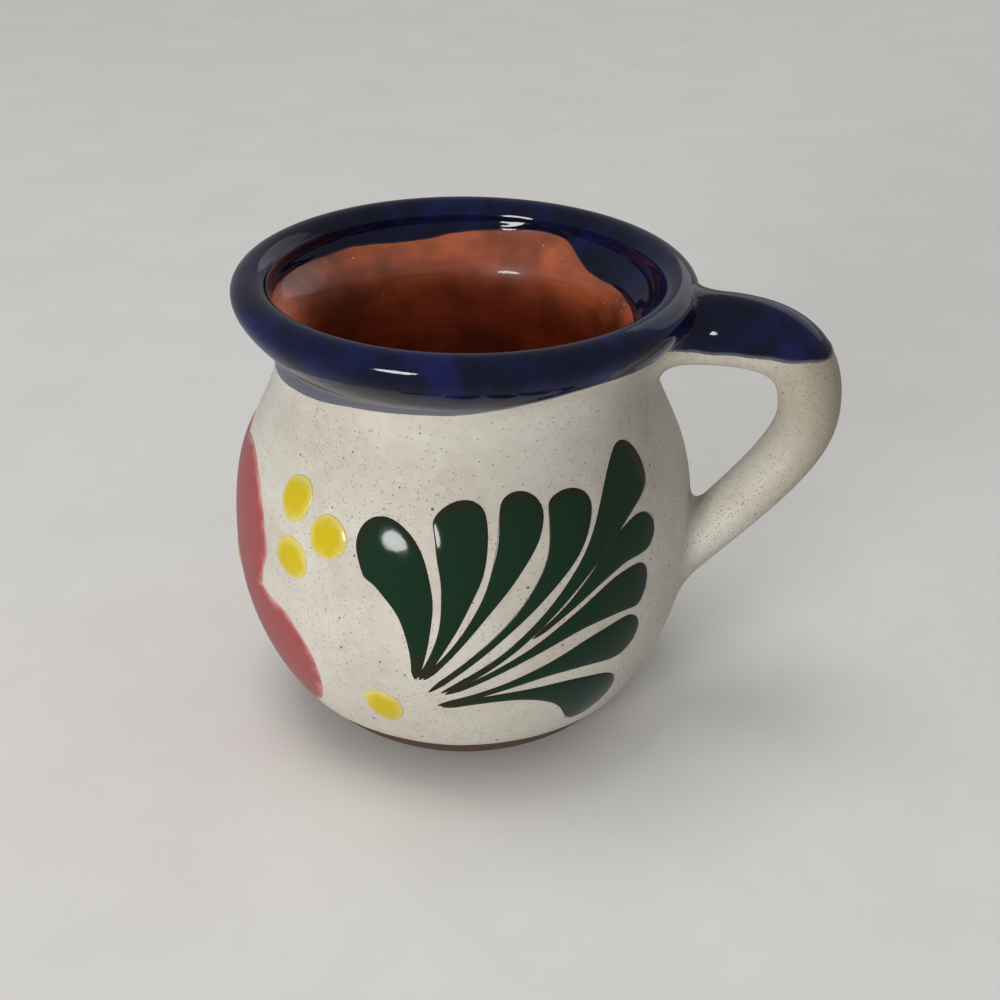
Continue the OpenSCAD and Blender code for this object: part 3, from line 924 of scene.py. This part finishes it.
class JARRITO_OT_pour_rim(bpy.types.Operator):
    """Lays the cobalt glaze over the lip, with the wandering edges that a dip leaves"""

    bl_idname = "jarrito.pour_rim"
    bl_label = "Glaze rim"
    bl_options = {"REGISTER", "UNDO"}

    FACE_ROWS = 90
    BASE_ROWS = 24
    # The pale line on the lip's inner edge, a painted highlight on the side that faces the light together
    # with glaze breaking thin over the edge: how far it lies from the edge, how wide it is, and the angle
    # of its middle
    WORN_HIGHLIGHT_BEFORE = 0.9 * MM
    WORN_HIGHLIGHT_WIDTH = 0.26 * MM
    WORN_HIGHLIGHT_ANGLE = math.radians(-120)
    # The violet band where the glaze ran thin over the slip: its least and most width in
    # millimetres, and the angle where it is widest
    THIN_BAND = (0.9, 5.2)
    THIN_ANGLE = math.radians(-118)

    def execute(self, context):
        body, coats = settings("body"), settings("coats")
        skin = Skin(body)
        low = skin.outside(RIM_OUTSIDE_SHARE * body.height)
        high = skin.inside(RIM_INSIDE_SHARE * body.height)
        face = (1 - np.cos(np.linspace(0, math.pi, self.FACE_ROWS))) / 2
        share = np.r_[face, np.linspace(1, 0, self.BASE_ROWS)]
        on_top = np.r_[np.ones(self.FACE_ROWS), np.zeros(self.BASE_ROWS)]
        line = np.column_stack(skin.flat(mix(low, high, share), coats.glaze * on_top))
        piece, rows, angles = spin_outline("cobalt_rim", line, RIM_STEPS)
        outer = round_edge(OUTER_EDGE_SHARES, angles, body.height) + waver(angles, 0.22 * MM, 1.7)
        inner = round_edge(INNER_EDGE_SHARES, angles, body.height) + waver(angles, 0.3 * MM, 4.1)
        start, end = skin.outside(outer), skin.inside(inner)
        length = mix(start, end, share[rows])
        from_edge = np.minimum(length - start, end - length)
        offset = np.where(on_top[rows] > 0, rolled(from_edge, coats), BASE_CLEAR)
        places = skin.point(length, angles, offset)
        sharp = skin.inside(body.height - body.lip_rise) - self.WORN_HIGHLIGHT_BEFORE
        worn = np.exp(-((length - sharp) / self.WORN_HIGHLIGHT_WIDTH) ** 2)
        # The worn value marks the pale line only on the side that faces the light: painted highlight, with
        # thin glaze on the edge
        carry(piece, "worn", worn * facing(angles, self.WORN_HIGHLIGHT_ANGLE, -0.1, 0.6))
        band = mix(*self.THIN_BAND, facing(angles, self.THIN_ANGLE, 0.45, 0.5)) * MM
        depth = np.minimum((length - start) / band, 0.75 + (end - length) / (2 * MM))
        carry(piece, "depth", np.clip(depth, 0, 1))
        settle(piece, places)
        finish_piece(piece, cobalt_finish(), ["rim_glaze"])
        return {"FINISHED"}


class JARRITO_OT_gloss_inside(bpy.types.Operator):
    """Lays the clear gloss over the terracotta inside, down to the floor"""

    bl_idname = "jarrito.gloss_inside"
    bl_label = "Gloss inside"
    bl_options = {"REGISTER", "UNDO"}

    # How far down from its edge the pale specks crowd
    SPECK_BAND = 7 * MM

    def execute(self, context):
        body, coats = settings("body"), settings("coats")
        skin = Skin(body)
        top = skin.inside(RIM_INSIDE_SHARE * body.height)
        outer = lengths_between(top, skin.total, COAT_SPACING)
        outer_share = np.linspace(0, 1, len(outer))
        inner_share = outer_share[::-4]
        count = len(outer)
        line = np.vstack([
            np.column_stack(skin.flat(outer, coats.gloss)),
            np.column_stack(skin.flat(mix(top, skin.total, inner_share), 0)),
        ])
        line[count - 1] = (0, body.floor + coats.gloss)
        line[count] = (0, body.floor)
        piece, rows, angles = spin_outline("clear_bowl", line, BODY_STEPS)
        share = np.r_[outer_share, inner_share][rows]
        edge = skin.inside(round_edge(INNER_EDGE_SHARES, angles, body.height))
        length = mix(edge - COAT_OVERLAP, skin.total, share)
        places = skin.point(length, angles, np.where(rows < count, coats.gloss, 0))
        # Face and base each end in one point on the axis
        on_axis = share > 1 - 1e-6
        places[on_axis] = 0
        places[on_axis, 2] = np.where(rows[on_axis] < count, body.floor + coats.gloss, body.floor)
        carry(piece, "depth", np.clip((length - edge) / self.SPECK_BAND, 0, 1))
        settle(piece, places)
        finish_piece(piece, glossed_clay_finish(), ["inner_glaze"])
        return {"FINISHED"}


# The handle, its coats and its two joints

COIL_SIDES = 56
COIL_STEPS = 110
FIRST_COAT_STATION = 0.1
BURIED = 1.2 * MM
# The swell of the glaze's edge on the arm, and the ripple all along that edge
SWELL_RISE = 0.35 * MM
SWELL_OUT = 7 * MM
SWELL_WIDTH = 6 * MM
RIPPLE = 0.1 * MM


def handle_edge(x, body, coats):
    """Height of the glaze's edge along the handle: level, but for a low swell on the arm."""
    level = body.height - coats.handle_edge_drop
    past = (x - body.belly_radius - SWELL_OUT) / SWELL_WIDTH
    return level + SWELL_RISE * np.exp(-past ** 2) + RIPPLE * np.sin(x / MM * 0.9)


def buried_ends(coil, skin, grow):
    """For lines along the coil, the stations at which each dives into the wall at either end."""
    around = np.linspace(-math.pi, math.pi, COIL_SIDES + 1)
    stations = np.linspace(0, 2, 400)
    lines, _ = coil.point(stations[:, None], around[None, :], grow)
    clear, _ = skin.clearance(lines.reshape(-1, 3))
    deep = clear.reshape(len(stations), len(around)) < -BURIED
    upper, lower = deep & (stations < 1)[:, None], deep & (stations > 1)[:, None]
    first = [stations[upper[:, k]].max(initial=0) for k in range(len(around))]
    last = [stations[lower[:, k]].min(initial=2) for k in range(len(around))]
    return around, first, last


def rod_along_coil(name, coil, skin, grow):
    """A rod laid along the coil, with both its ends inside the wall."""
    piece = straight_rod(name, COIL_SIDES, COIL_STEPS)
    at = corners(piece)
    around, first, last = buried_ends(coil, skin, grow)
    a = np.arctan2(at[:, 1], at[:, 0])
    g = mix(np.interp(a, around, first), np.interp(a, around, last), at[:, 2] / MM / COIL_STEPS)
    places, _ = coil.point(g, a, grow)
    settle(piece, places)
    return piece


class JARRITO_OT_pull_handle(bpy.types.Operator):
    """Pulls the clay coil and coats it in cream slip"""

    bl_idname = "jarrito.pull_handle"
    bl_label = "Pull handle"
    bl_options = {"REGISTER", "UNDO"}

    def execute(self, context):
        body, coats = settings("body"), settings("coats")
        coil, skin = Coil(body, settings("handle")), Skin(body)
        clay = rod_along_coil("pulled_handle", coil, skin, 0)
        finish_piece(clay, bpy.data.materials["bare terracotta"], ["handle"])
        coat = rod_along_coil("handle_cream", coil, skin, coats.slip)
        # The handle's slip carries painted shade on its outer, upper part
        finish_piece(coat, cream_finish("handle slip", 1, 0.6), ["handle_slip_coat"])
        return {"FINISHED"}


class JARRITO_OT_glaze_handle(bpy.types.Operator):
    """Lays the cobalt glaze over the top of the handle, down to its edge on both sides"""

    bl_idname = "jarrito.glaze_handle"
    bl_label = "Glaze handle"
    bl_options = {"REGISTER", "UNDO"}

    COLUMNS = 120
    ROWS = 48
    # How far down each side the glaze may reach, from the top, and about how long one station is
    MOST_REACH = 2.9
    STATION_LENGTH = 42 * MM
    # How far in from its edge the glaze is as deep as it gets
    FULL_DEPTH = 1.1 * MM

    def execute(self, context):
        body, coats = settings("body"), settings("coats")
        coil = Coil(body, settings("handle"))
        g = np.linspace(FIRST_COAT_STATION, 1, 500)
        a = np.linspace(0, math.pi, 361)
        ring, _ = coil.point(g[:, None], a[None, :], coats.glaze)
        under = ring[..., 2] < handle_edge(ring[..., 0], body, coats)
        reach = np.where(under.any(1), a[under.argmax(1)], math.pi)
        last = np.flatnonzero(reach > 0).max()
        reach = np.minimum(reach, self.MOST_REACH)
        reach[last + 1:] = 0
        bpy.ops.object.select_all(action="DESELECT")
        bpy.ops.mesh.primitive_grid_add(
            x_subdivisions=self.COLUMNS, y_subdivisions=self.ROWS, size=2, location=(0, 0, 0)
        )
        piece = begin("handle_cobalt")
        in_edit(piece)
        bpy.ops.mesh.extrude_region_move(TRANSFORM_OT_translate={"value": (0, 0, -1)})
        bpy.ops.object.mode_set(mode="OBJECT")
        at = corners(piece)
        run = np.sin((at[:, 0] + 1) / 2 * math.pi / 2)
        station = mix(FIRST_COAT_STATION, g[last], run)
        span = np.interp(station, g[:last + 2], reach[:last + 2]) * np.clip((1 - run) / 1e-6, 0, 1)
        angle = at[:, 1] * span
        half = np.interp(station, [0, 1, 2], (coil.thickness + coil.width) / 4)
        from_side = (1 - np.abs(at[:, 1])) * span * half
        from_end = (1 - run) * (g[last] - FIRST_COAT_STATION) * self.STATION_LENGTH
        from_edge = np.minimum(from_side, from_end)
        grow = np.where(at[:, 2] > -0.5, rolled(from_edge, coats), 0)
        places, _ = coil.point(station, angle, grow)
        carry(piece, "depth", np.clip(from_edge / self.FULL_DEPTH, 0, 1))
        settle(piece, places)
        finish_piece(piece, bpy.data.materials["cobalt glaze"], ["handle_glaze"])
        return {"FINISHED"}


class JARRITO_OT_lute_joints(bpy.types.Operator):
    """Smears a fillet of slip round each joint of handle and body"""

    bl_idname = "jarrito.lute_joints"
    bl_label = "Lute joints"
    bl_options = {"REGISTER", "UNDO"}

    SIDES = 128
    CURVE = 14
    STATIONS = 420
    # The radius up to which the rim's edge rules, and how far on the handle's edge rules alone
    RIM_ENDS = 39 * MM
    HANDLE_STARTS = 5 * MM
    # How much further along the coil than over the body a fillet reaches, and how deep its root
    # lies in the clay
    ALONG_COIL = 1.15
    ROOT_DEPTH = 0.8 * MM
    # Radius and half width of the plain ring that a fillet is bent from
    RING_RADIUS = 10 * MM
    RING_HALF = 2 * MM
    # Each joint: stations outside and inside the body, reach over and under the coil as shares
    # of the fillet's setting, and how much further it reaches along the coil's top
    UPPER = (0.75, 0, 0.55, 1.4, 2.6)
    LOWER = (1.2, 1.98, 1, 1, ALONG_COIL)

    def above_edge(self, places):
        """How far each place lies above the glaze's edge, the rim's or the handle's."""
        body, coats = settings("body"), settings("coats")
        near = smooth_step((np.hypot(places[:, 0], places[:, 1]) - self.RIM_ENDS) / self.HANDLE_STARTS)
        rim = round_edge(OUTER_EDGE_SHARES, np.arctan2(places[:, 1], places[:, 0]), body.height)
        return places[:, 2] - mix(rim, handle_edge(places[:, 0], body, coats), near)

    def coat(self, places):
        """Where the smear's edge lies: just under the slip's face, or level with the glaze."""
        coats = settings("coats")
        glazed = smooth_step(self.above_edge(places) / EDGE_ROLL)
        return mix(coats.slip - HAIR, coats.glaze + BASE_CLEAR, glazed)

    def crease_stations(self, coil, skin, stations, a):
        """The station at which each line along the coated coil meets the coated body."""
        slip = settings("coats").slip
        lines, _ = coil.point(stations[:, None], a[None, :], slip)
        clear, _ = skin.clearance(lines.reshape(-1, 3), slip)
        clear = clear.reshape(len(stations), len(a))
        inside = np.where((clear < 0).any(0), np.argmax(clear < 0, axis=0), len(stations) - 1)
        before = np.maximum(inside - 1, 0)
        k = np.arange(len(a))
        t = np.clip(clear[before, k] / (clear[before, k] - clear[inside, k]), 0, 1)
        return mix(stations[before], stations[inside], t)

    def bend_ring(self, name, on_coil, crease, on_body, root):
        """A plain ring, and the places that give it a hollow face and a root in the clay."""
        outline = [
            (self.RING_RADIUS + self.RING_HALF * math.cos(f), self.RING_HALF * math.sin(f))
            for f in np.linspace(0, 2 * math.pi, self.CURVE + 1, endpoint=False)
        ]
        piece, rows, angles = spin_outline(name, outline, self.SIDES)
        column = np.round(angles / (2 * math.pi) * self.SIDES).astype(int) % self.SIDES
        s = np.clip(rows / (self.CURVE - 1), 0, 1)[:, None]
        face = (1 - s) ** 2 * on_coil[column] + 2 * s * (1 - s) * crease[column] + s ** 2 * on_body[column]
        return piece, np.where((rows == self.CURVE)[:, None], root[column], face)

    def fillet(self, name, outside, inside, over, under, stretch):
        """A ring whose face runs from the coil, through a hollow curve, on to the body."""
        body, handle, slip = settings("body"), settings("handle"), settings("coats").slip
        skin, coil = Skin(body), Coil(body, handle)
        a = np.linspace(0, 2 * math.pi, self.SIDES, endpoint=False)
        crease_at = self.crease_stations(coil, skin, np.linspace(outside, inside, self.STATIONS), a)
        crease, out = coil.point(crease_at, a, slip)
        reach = mix(over * handle.fillet, under * handle.fillet, (1 - np.cos(a)) / 2)

        onward = coil.centre(crease_at + SMALL_STEP) - coil.centre(crease_at)
        speed = np.linalg.norm(onward, axis=1) / SMALL_STEP
        further = mix(self.ALONG_COIL, stretch, np.maximum(np.cos(a), 0) ** 2)
        along = crease_at + math.copysign(1, outside - inside) * further * reach / speed
        on_coil, _ = coil.point(along, a, slip)
        on_coil, _ = coil.point(along, a, self.coat(on_coil))

        _, at = skin.clearance(crease, slip)
        spin = np.arctan2(crease[:, 1], crease[:, 0])
        nr, nz = [np.interp(at, skin.length, skin.normal[:, i]) for i in (0, 1)]
        body_out = np.column_stack([nr * np.cos(spin), nr * np.sin(spin), nz])
        facing_out = (out * body_out).sum(1)
        on_body = crease + unit(out - facing_out[:, None] * body_out) * reach[:, None]
        _, at = skin.clearance(on_body, slip)
        on_body = skin.point(at, np.arctan2(on_body[:, 1], on_body[:, 0]), self.coat(on_body))

        root = crease - (body_out + out) * self.ROOT_DEPTH
        lifted = (self.coat(crease) - slip) / np.maximum(1 + facing_out, 0.7)
        crease = crease + (out + body_out) * lifted[:, None]
        return self.bend_ring(name, on_coil, crease, on_body, root)

    def execute(self, context):
        upper, places = self.fillet("upper_joint", *self.UPPER)
        carry(upper, "above", self.above_edge(places) / MM)
        settle(upper, places)
        finish_piece(upper, joint_finish(), ["upper_luting_slip"], SOFT_CREASE)
        lower, places = self.fillet("lower_joint", *self.LOWER)
        settle(lower, places)
        slip = bpy.data.materials["handle slip"]
        finish_piece(lower, slip, ["lower_luting_slip"], SOFT_CREASE)
        return {"FINISHED"}


# Painting. Each row has four points that bend the stroke, from tip to head, as angle from the
# handle and share of the neck's height, then its half width as a share of the belly's radius,
# how late it swells, and where its round head starts.

LEAF_SHARES = [
    ((-91.5, 0.375), (-89.5, 0.495), (-89.5, 0.7), (-106, 0.721), 0.133, 1.7, 0.84),
    ((-90.5, 0.375), (-83, 0.5), (-77.5, 0.67), (-82.3, 0.82), 0.115, 2.2, 0.91),
    ((-89.5, 0.375), (-76.5, 0.53), (-68.5, 0.675), (-64.2, 0.834), 0.099, 3.1, 0.91),
    ((-88.5, 0.335), (-70.5, 0.515), (-53, 0.66), (-52, 0.824), 0.106, 3.6, 0.92),
    ((-85.5, 0.335), (-55.5, 0.53), (-47, 0.74), (-26.8, 0.846), 0.112, 3.6, 0.92),
    ((-64, 0.487), (-47, 0.6), (-43, 0.685), (-27.3, 0.667), 0.083, 1.8, 0.89),
    ((-84.5, 0.331), (-65, 0.437), (-48, 0.57), (-31, 0.543), 0.1, 3, 0.92),
    ((-86.5, 0.29), (-66, 0.366), (-53, 0.428), (-33, 0.414), 0.102, 3.1, 0.9),
    ((-85.5, 0.287), (-70, 0.338), (-49, 0.333), (-39.3, 0.18), 0.141, 3.7, 0.88),
]
DOT_SHARES = {"upper": (-126, 0.755), "near": (-114, 0.7), "lower": (-125, 0.615), "low": (-101, 0.26)}
# Petals: how far the end lies from the flower's middle, along and up, and the half width
PETAL_SHARES = {
    "near_low": (0.736, -0.201, 0.291),
    "near_high": (0.319, 0.317, 0.352),
    "far_high": (-0.319, 0.317, 0.352),
    "far_low": (-0.736, -0.201, 0.291),
    "bottom": (0, -0.293, 0.17),
}
PETAL_SWELL = 0.55
PETAL_SPINE_SHARES = (0.08, 0.3, 0.7, 1)
# Height of the petals and of the flower's middle, as shares of a stroke's
PETAL_RISE = 0.9
EYE_RISE = 1.15
# The tail of a stroke: its share of the full width, and the share of the length that rounds it off
TAIL_SHARE = 0.14
TIP_SHARE = 0.06
# How deep a stroke's base lies in the slip
STROKE_SUNK = 0.12 * MM
# What the names of the near and the far side's nodes start with
SIDE_PREFIXES = ("", "far_")


def pressed(t, swell, head):
    """How wide the brush is pressed along a stroke."""
    tail = TAIL_SHARE * np.sqrt(np.clip(t / TIP_SHARE, 0, 1))
    rising = mix(tail, 1, np.sin(math.pi / 2 * np.clip(t / head, 0, 1) ** swell))
    ending = np.sqrt(np.clip(1 - ((t - head) / (1 - head)) ** 2, 0, 1))
    return np.where(t < head, rising, ending)


def stroke_plan(piece, bends, half, swell, head, seed):
    """Places on the unrolled belly for the points of a round drop, and how wide the stroke is."""
    x, y = corners(piece)[:, :2].T
    t = np.clip((1 + x) / 2, 0, 1)
    chord = np.sqrt(np.clip(1 - x ** 2, 1e-9, 1))
    side = np.clip(y / chord, -1, 1)
    ahead, behind = np.minimum(t + SMALL_STEP, 1), np.maximum(t - SMALL_STEP, 0)
    way = unit(bezier(bends, ahead) - bezier(bends, behind))
    left = np.column_stack([-way[:, 1], way[:, 0]])
    wide = pressed(t, swell, head)
    tremble = 1 + 0.035 * np.sin(9 * t + seed + side) + 0.02 * np.sin(23 * t + 2.3 * seed - side)
    return bezier(bends, t) + left * (side * half * wide * tremble)[:, None], wide


def dome(rho):
    """How high a drop stands, from its middle to its edge."""
    return 0.14 + 0.86 * np.clip(1 - rho ** 2.4, 0, 1) ** 0.62


def lay_on_body(piece, plan, height, far):
    """Rolls a flat drop on to the coated body, its top domed and its base just in the slip."""
    body, coats = settings("body"), settings("coats")
    skin = Skin(body)
    at = corners(piece)
    raised = dome(np.hypot(at[:, 0], at[:, 1]))
    angle = plan[:, 0] / body.belly_radius
    if far:
        angle = coats.far_turn - angle
    offset = np.where(at[:, 2] > -0.5, coats.slip + height * raised, coats.slip - STROKE_SUNK)
    carry(piece, "depth", raised * np.clip(height / coats.stroke, 0, 1.2))
    settle(piece, skin.point(skin.outside(plan[:, 1]), angle, offset))


def paint(piece, plan, height, finish, node, far=False):
    """Lays a drop on the body as one stroke, with its finish, in place of its CAD node."""
    lay_on_body(piece, plan, height, far)
    finish_piece(piece, finish, [node], SOFT_CREASE)


def on_belly(points):
    """Angle in degrees and share of the neck's height, as lengths on the unrolled belly."""
    body = settings("body")
    return [(math.radians(a) * body.belly_radius, share * body.neck_height) for a, share in points]


class JARRITO_OT_paint_leaves(bpy.types.Operator):
    """Paints the fan of green strokes on the near side and on the far side"""

    bl_idname = "jarrito.paint_leaves"
    bl_label = "Paint leaves"
    bl_options = {"REGISTER", "UNDO"}

    def execute(self, context):
        body, coats = settings("body"), settings("coats")
        drop, finish = puddle("drop"), stroke_finish("green stroke")
        for far, prefix in enumerate(SIDE_PREFIXES):
            for i, (*bends, half, swell, head) in enumerate(LEAF_SHARES, 1):
                piece = another(drop, f"{prefix}green_stroke_{i}")
                half *= body.belly_radius
                plan, wide = stroke_plan(piece, on_belly(bends), half, swell, head, i + 20 * far)
                height = coats.stroke * (0.3 + 0.7 * wide ** 0.7)
                paint(piece, plan, height, finish, f"{prefix}leaf_{i}", far)
        bpy.data.objects.remove(drop)
        return {"FINISHED"}


class JARRITO_OT_paint_dots(bpy.types.Operator):
    """Paints the yellow dots on the near side and on the far side"""

    bl_idname = "jarrito.paint_dots"
    bl_label = "Paint dots"
    bl_options = {"REGISTER", "UNDO"}

    def execute(self, context):
        coats = settings("coats")
        drop, finish = puddle("drop"), stroke_finish("yellow dot")
        at = corners(drop)
        way = np.arctan2(at[:, 1], at[:, 0])
        for far, prefix in enumerate(SIDE_PREFIXES):
            for k, (name, share) in enumerate(DOT_SHARES.items()):
                piece = another(drop, f"{prefix}yellow_dot_{name}")
                loose = 1 + 0.04 * np.sin(2 * way + k) + 0.025 * np.sin(3 * way + 2 * k + far)
                plan = np.array(on_belly([share])) + at[:, :2] * (coats.dot_radius * loose)[:, None]
                paint(piece, plan, coats.stroke, finish, f"{prefix}dot_{name}", far)
        bpy.data.objects.remove(drop)
        return {"FINISHED"}


class JARRITO_OT_paint_flower(bpy.types.Operator):
    """Paints the red flower opposite the handle"""

    bl_idname = "jarrito.paint_flower"
    bl_label = "Paint flower"
    bl_options = {"REGISTER", "UNDO"}

    def execute(self, context):
        body, coats = settings("body"), settings("coats")
        drop, finish = puddle("drop"), stroke_finish("red petal")
        eye = np.array([coats.flower_angle * body.belly_radius, coats.flower_height])
        for k, (name, (along, up, half)) in enumerate(PETAL_SHARES.items()):
            piece = another(drop, f"red_petal_{name}")
            way = np.array([along * body.belly_radius, up * body.neck_height])
            half *= body.belly_radius
            bends = [eye + way * share for share in PETAL_SPINE_SHARES]
            head = 1 - half / np.linalg.norm(way)
            plan, _ = stroke_plan(piece, bends, half, PETAL_SWELL, head, k)
            paint(piece, plan, coats.stroke * PETAL_RISE, finish, f"petal_{name}")
        piece = another(drop, "flower_middle")
        plan = eye + corners(piece)[:, :2] * coats.eye_radius
        yellow = bpy.data.materials["yellow dot"]
        paint(piece, plan, coats.stroke * EYE_RISE, yellow, "flower_eye")
        bpy.data.objects.remove(drop)
        return {"FINISHED"}


# The studio

# Each light: azimuth and elevation in degrees, distance, size in metres, and power in watts
LIGHTS = {
    "key": (-111, 10, 0.9, (0.3, 0.24), 4.8),
    "left": (-160, 8, 1.5, (1.1, 0.9), 2.1),
    "back": (62, 26, 1.7, (1.7, 1), 2.3),
    "overhead": (180, 80, 1.6, (0.9, 0.9), 7.5),
}
SHOWN_IN_GLAZE = ("key", "back")
WORLD_LEVEL = 0.34
WORLD_COLOUR = (0.86, 0.87, 0.9, 1)
FLOOR_SIZE = 8
SENSOR_WIDTH = 36


def direction_from(azimuth, elevation):
    """The way out from the middle at an azimuth and elevation in degrees."""
    a, e = math.radians(azimuth), math.radians(elevation)
    return Vector((math.cos(a) * math.cos(e), math.sin(a) * math.cos(e), math.sin(e)))


def soft_light(name, place, aim, size, power):
    """A broad lamp that looks at the mug."""
    turned = (aim - place).to_track_quat("-Z", "Y").to_euler()
    bpy.ops.object.light_add(type="AREA", location=place, rotation=turned)
    light = bpy.context.object
    light.name = name
    light.data.shape = "ELLIPSE"
    light.data.size, light.data.size_y = size
    light.data.energy = power
    light.visible_glossy = name in SHOWN_IN_GLAZE


class JARRITO_OT_set_stage(bpy.types.Operator):
    """Sets the floor, the soft lights and the camera"""

    bl_idname = "jarrito.set_stage"
    bl_label = "Set stage"
    bl_options = {"REGISTER", "UNDO"}

    def execute(self, context):
        stage = settings("stage")
        bpy.ops.object.select_all(action="DESELECT")
        bpy.ops.mesh.primitive_plane_add(size=FLOOR_SIZE, location=(0, 0, 0))
        floor = begin("studio_floor")
        floor.data.materials.append(floor_finish())
        floor.visible_glossy = False
        aim = Vector((0, 0, BODY_HIGH.z / 2))
        for name, (azimuth, elevation, away, size, power) in LIGHTS.items():
            soft_light(name, aim + direction_from(azimuth, elevation) * away, aim, size, power)
        world = context.scene.world or bpy.data.worlds.new("studio")
        context.scene.world = world
        world.use_nodes = True
        back = next(n for n in world.node_tree.nodes if n.type == "BACKGROUND")
        back.inputs["Color"].default_value = WORLD_COLOUR
        back.inputs["Strength"].default_value = WORLD_LEVEL

        e, roll, a = stage.elevation, stage.roll, stage.azimuth
        spin = Matrix.Rotation(a, 3, "Z")
        right = spin @ Vector((1, 0, 0))
        up = spin @ Vector((0, math.sin(e), math.cos(e)))
        behind = spin @ Vector((0, -math.cos(e), math.sin(e)))
        eye = behind * stage.distance + right * stage.aim_right + up * stage.aim_up
        across = right * math.cos(roll) - up * math.sin(roll)
        upright = right * math.sin(roll) + up * math.cos(roll)
        turned = Matrix((across, upright, behind)).transposed().to_euler()
        bpy.ops.object.camera_add(location=eye, rotation=turned)
        camera = context.object
        camera.data.lens = stage.lens
        camera.data.sensor_width = SENSOR_WIDTH
        context.scene.camera = camera
        context.scene.view_settings.view_transform = "Standard"
        return {"FINISHED"}


class JARRITO_PT_panel(bpy.types.Panel):
    """Lists the steps in the order of the workshop"""

    bl_idname = "JARRITO_PT_panel"
    bl_label = "Clay Jarrito"
    bl_space_type = "VIEW_3D"
    bl_region_type = "UI"
    bl_category = "Jarrito"

    def draw(self, context):
        for operator in OPERATORS:
            self.layout.operator(operator.bl_idname)
        for name, group in GROUPS.items():
            box = self.layout.box()
            box.label(text=group.__doc__)
            for field in group.__annotations__:
                box.prop(getattr(context.scene, name), field)


OPERATORS = (
    JARRITO_OT_turn_body,
    JARRITO_OT_dip_slip,
    JARRITO_OT_pour_rim,
    JARRITO_OT_gloss_inside,
    JARRITO_OT_pull_handle,
    JARRITO_OT_glaze_handle,
    JARRITO_OT_lute_joints,
    JARRITO_OT_paint_leaves,
    JARRITO_OT_paint_dots,
    JARRITO_OT_paint_flower,
    JARRITO_OT_set_stage,
)


def register():
    for item in (*GROUPS.values(), *OPERATORS, JARRITO_PT_panel):
        bpy.utils.register_class(item)
    for name, group in GROUPS.items():
        setattr(bpy.types.Scene, name, PointerProperty(type=group))


def unregister():
    for name in GROUPS:
        delattr(bpy.types.Scene, name)
    for item in (JARRITO_PT_panel, *reversed(OPERATORS), *reversed(GROUPS.values())):
        bpy.utils.unregister_class(item)


def main():
    """Makes every piece in the order of the workshop and sets the stage."""
    register()
    bpy.ops.jarrito.turn_body()
    bpy.ops.jarrito.dip_slip()
    bpy.ops.jarrito.pour_rim()
    bpy.ops.jarrito.gloss_inside()
    bpy.ops.jarrito.pull_handle()
    bpy.ops.jarrito.glaze_handle()
    bpy.ops.jarrito.lute_joints()
    bpy.ops.jarrito.paint_leaves()
    bpy.ops.jarrito.paint_dots()
    bpy.ops.jarrito.paint_flower()
    bpy.ops.jarrito.set_stage()


if __name__ == "__main__":
    main()
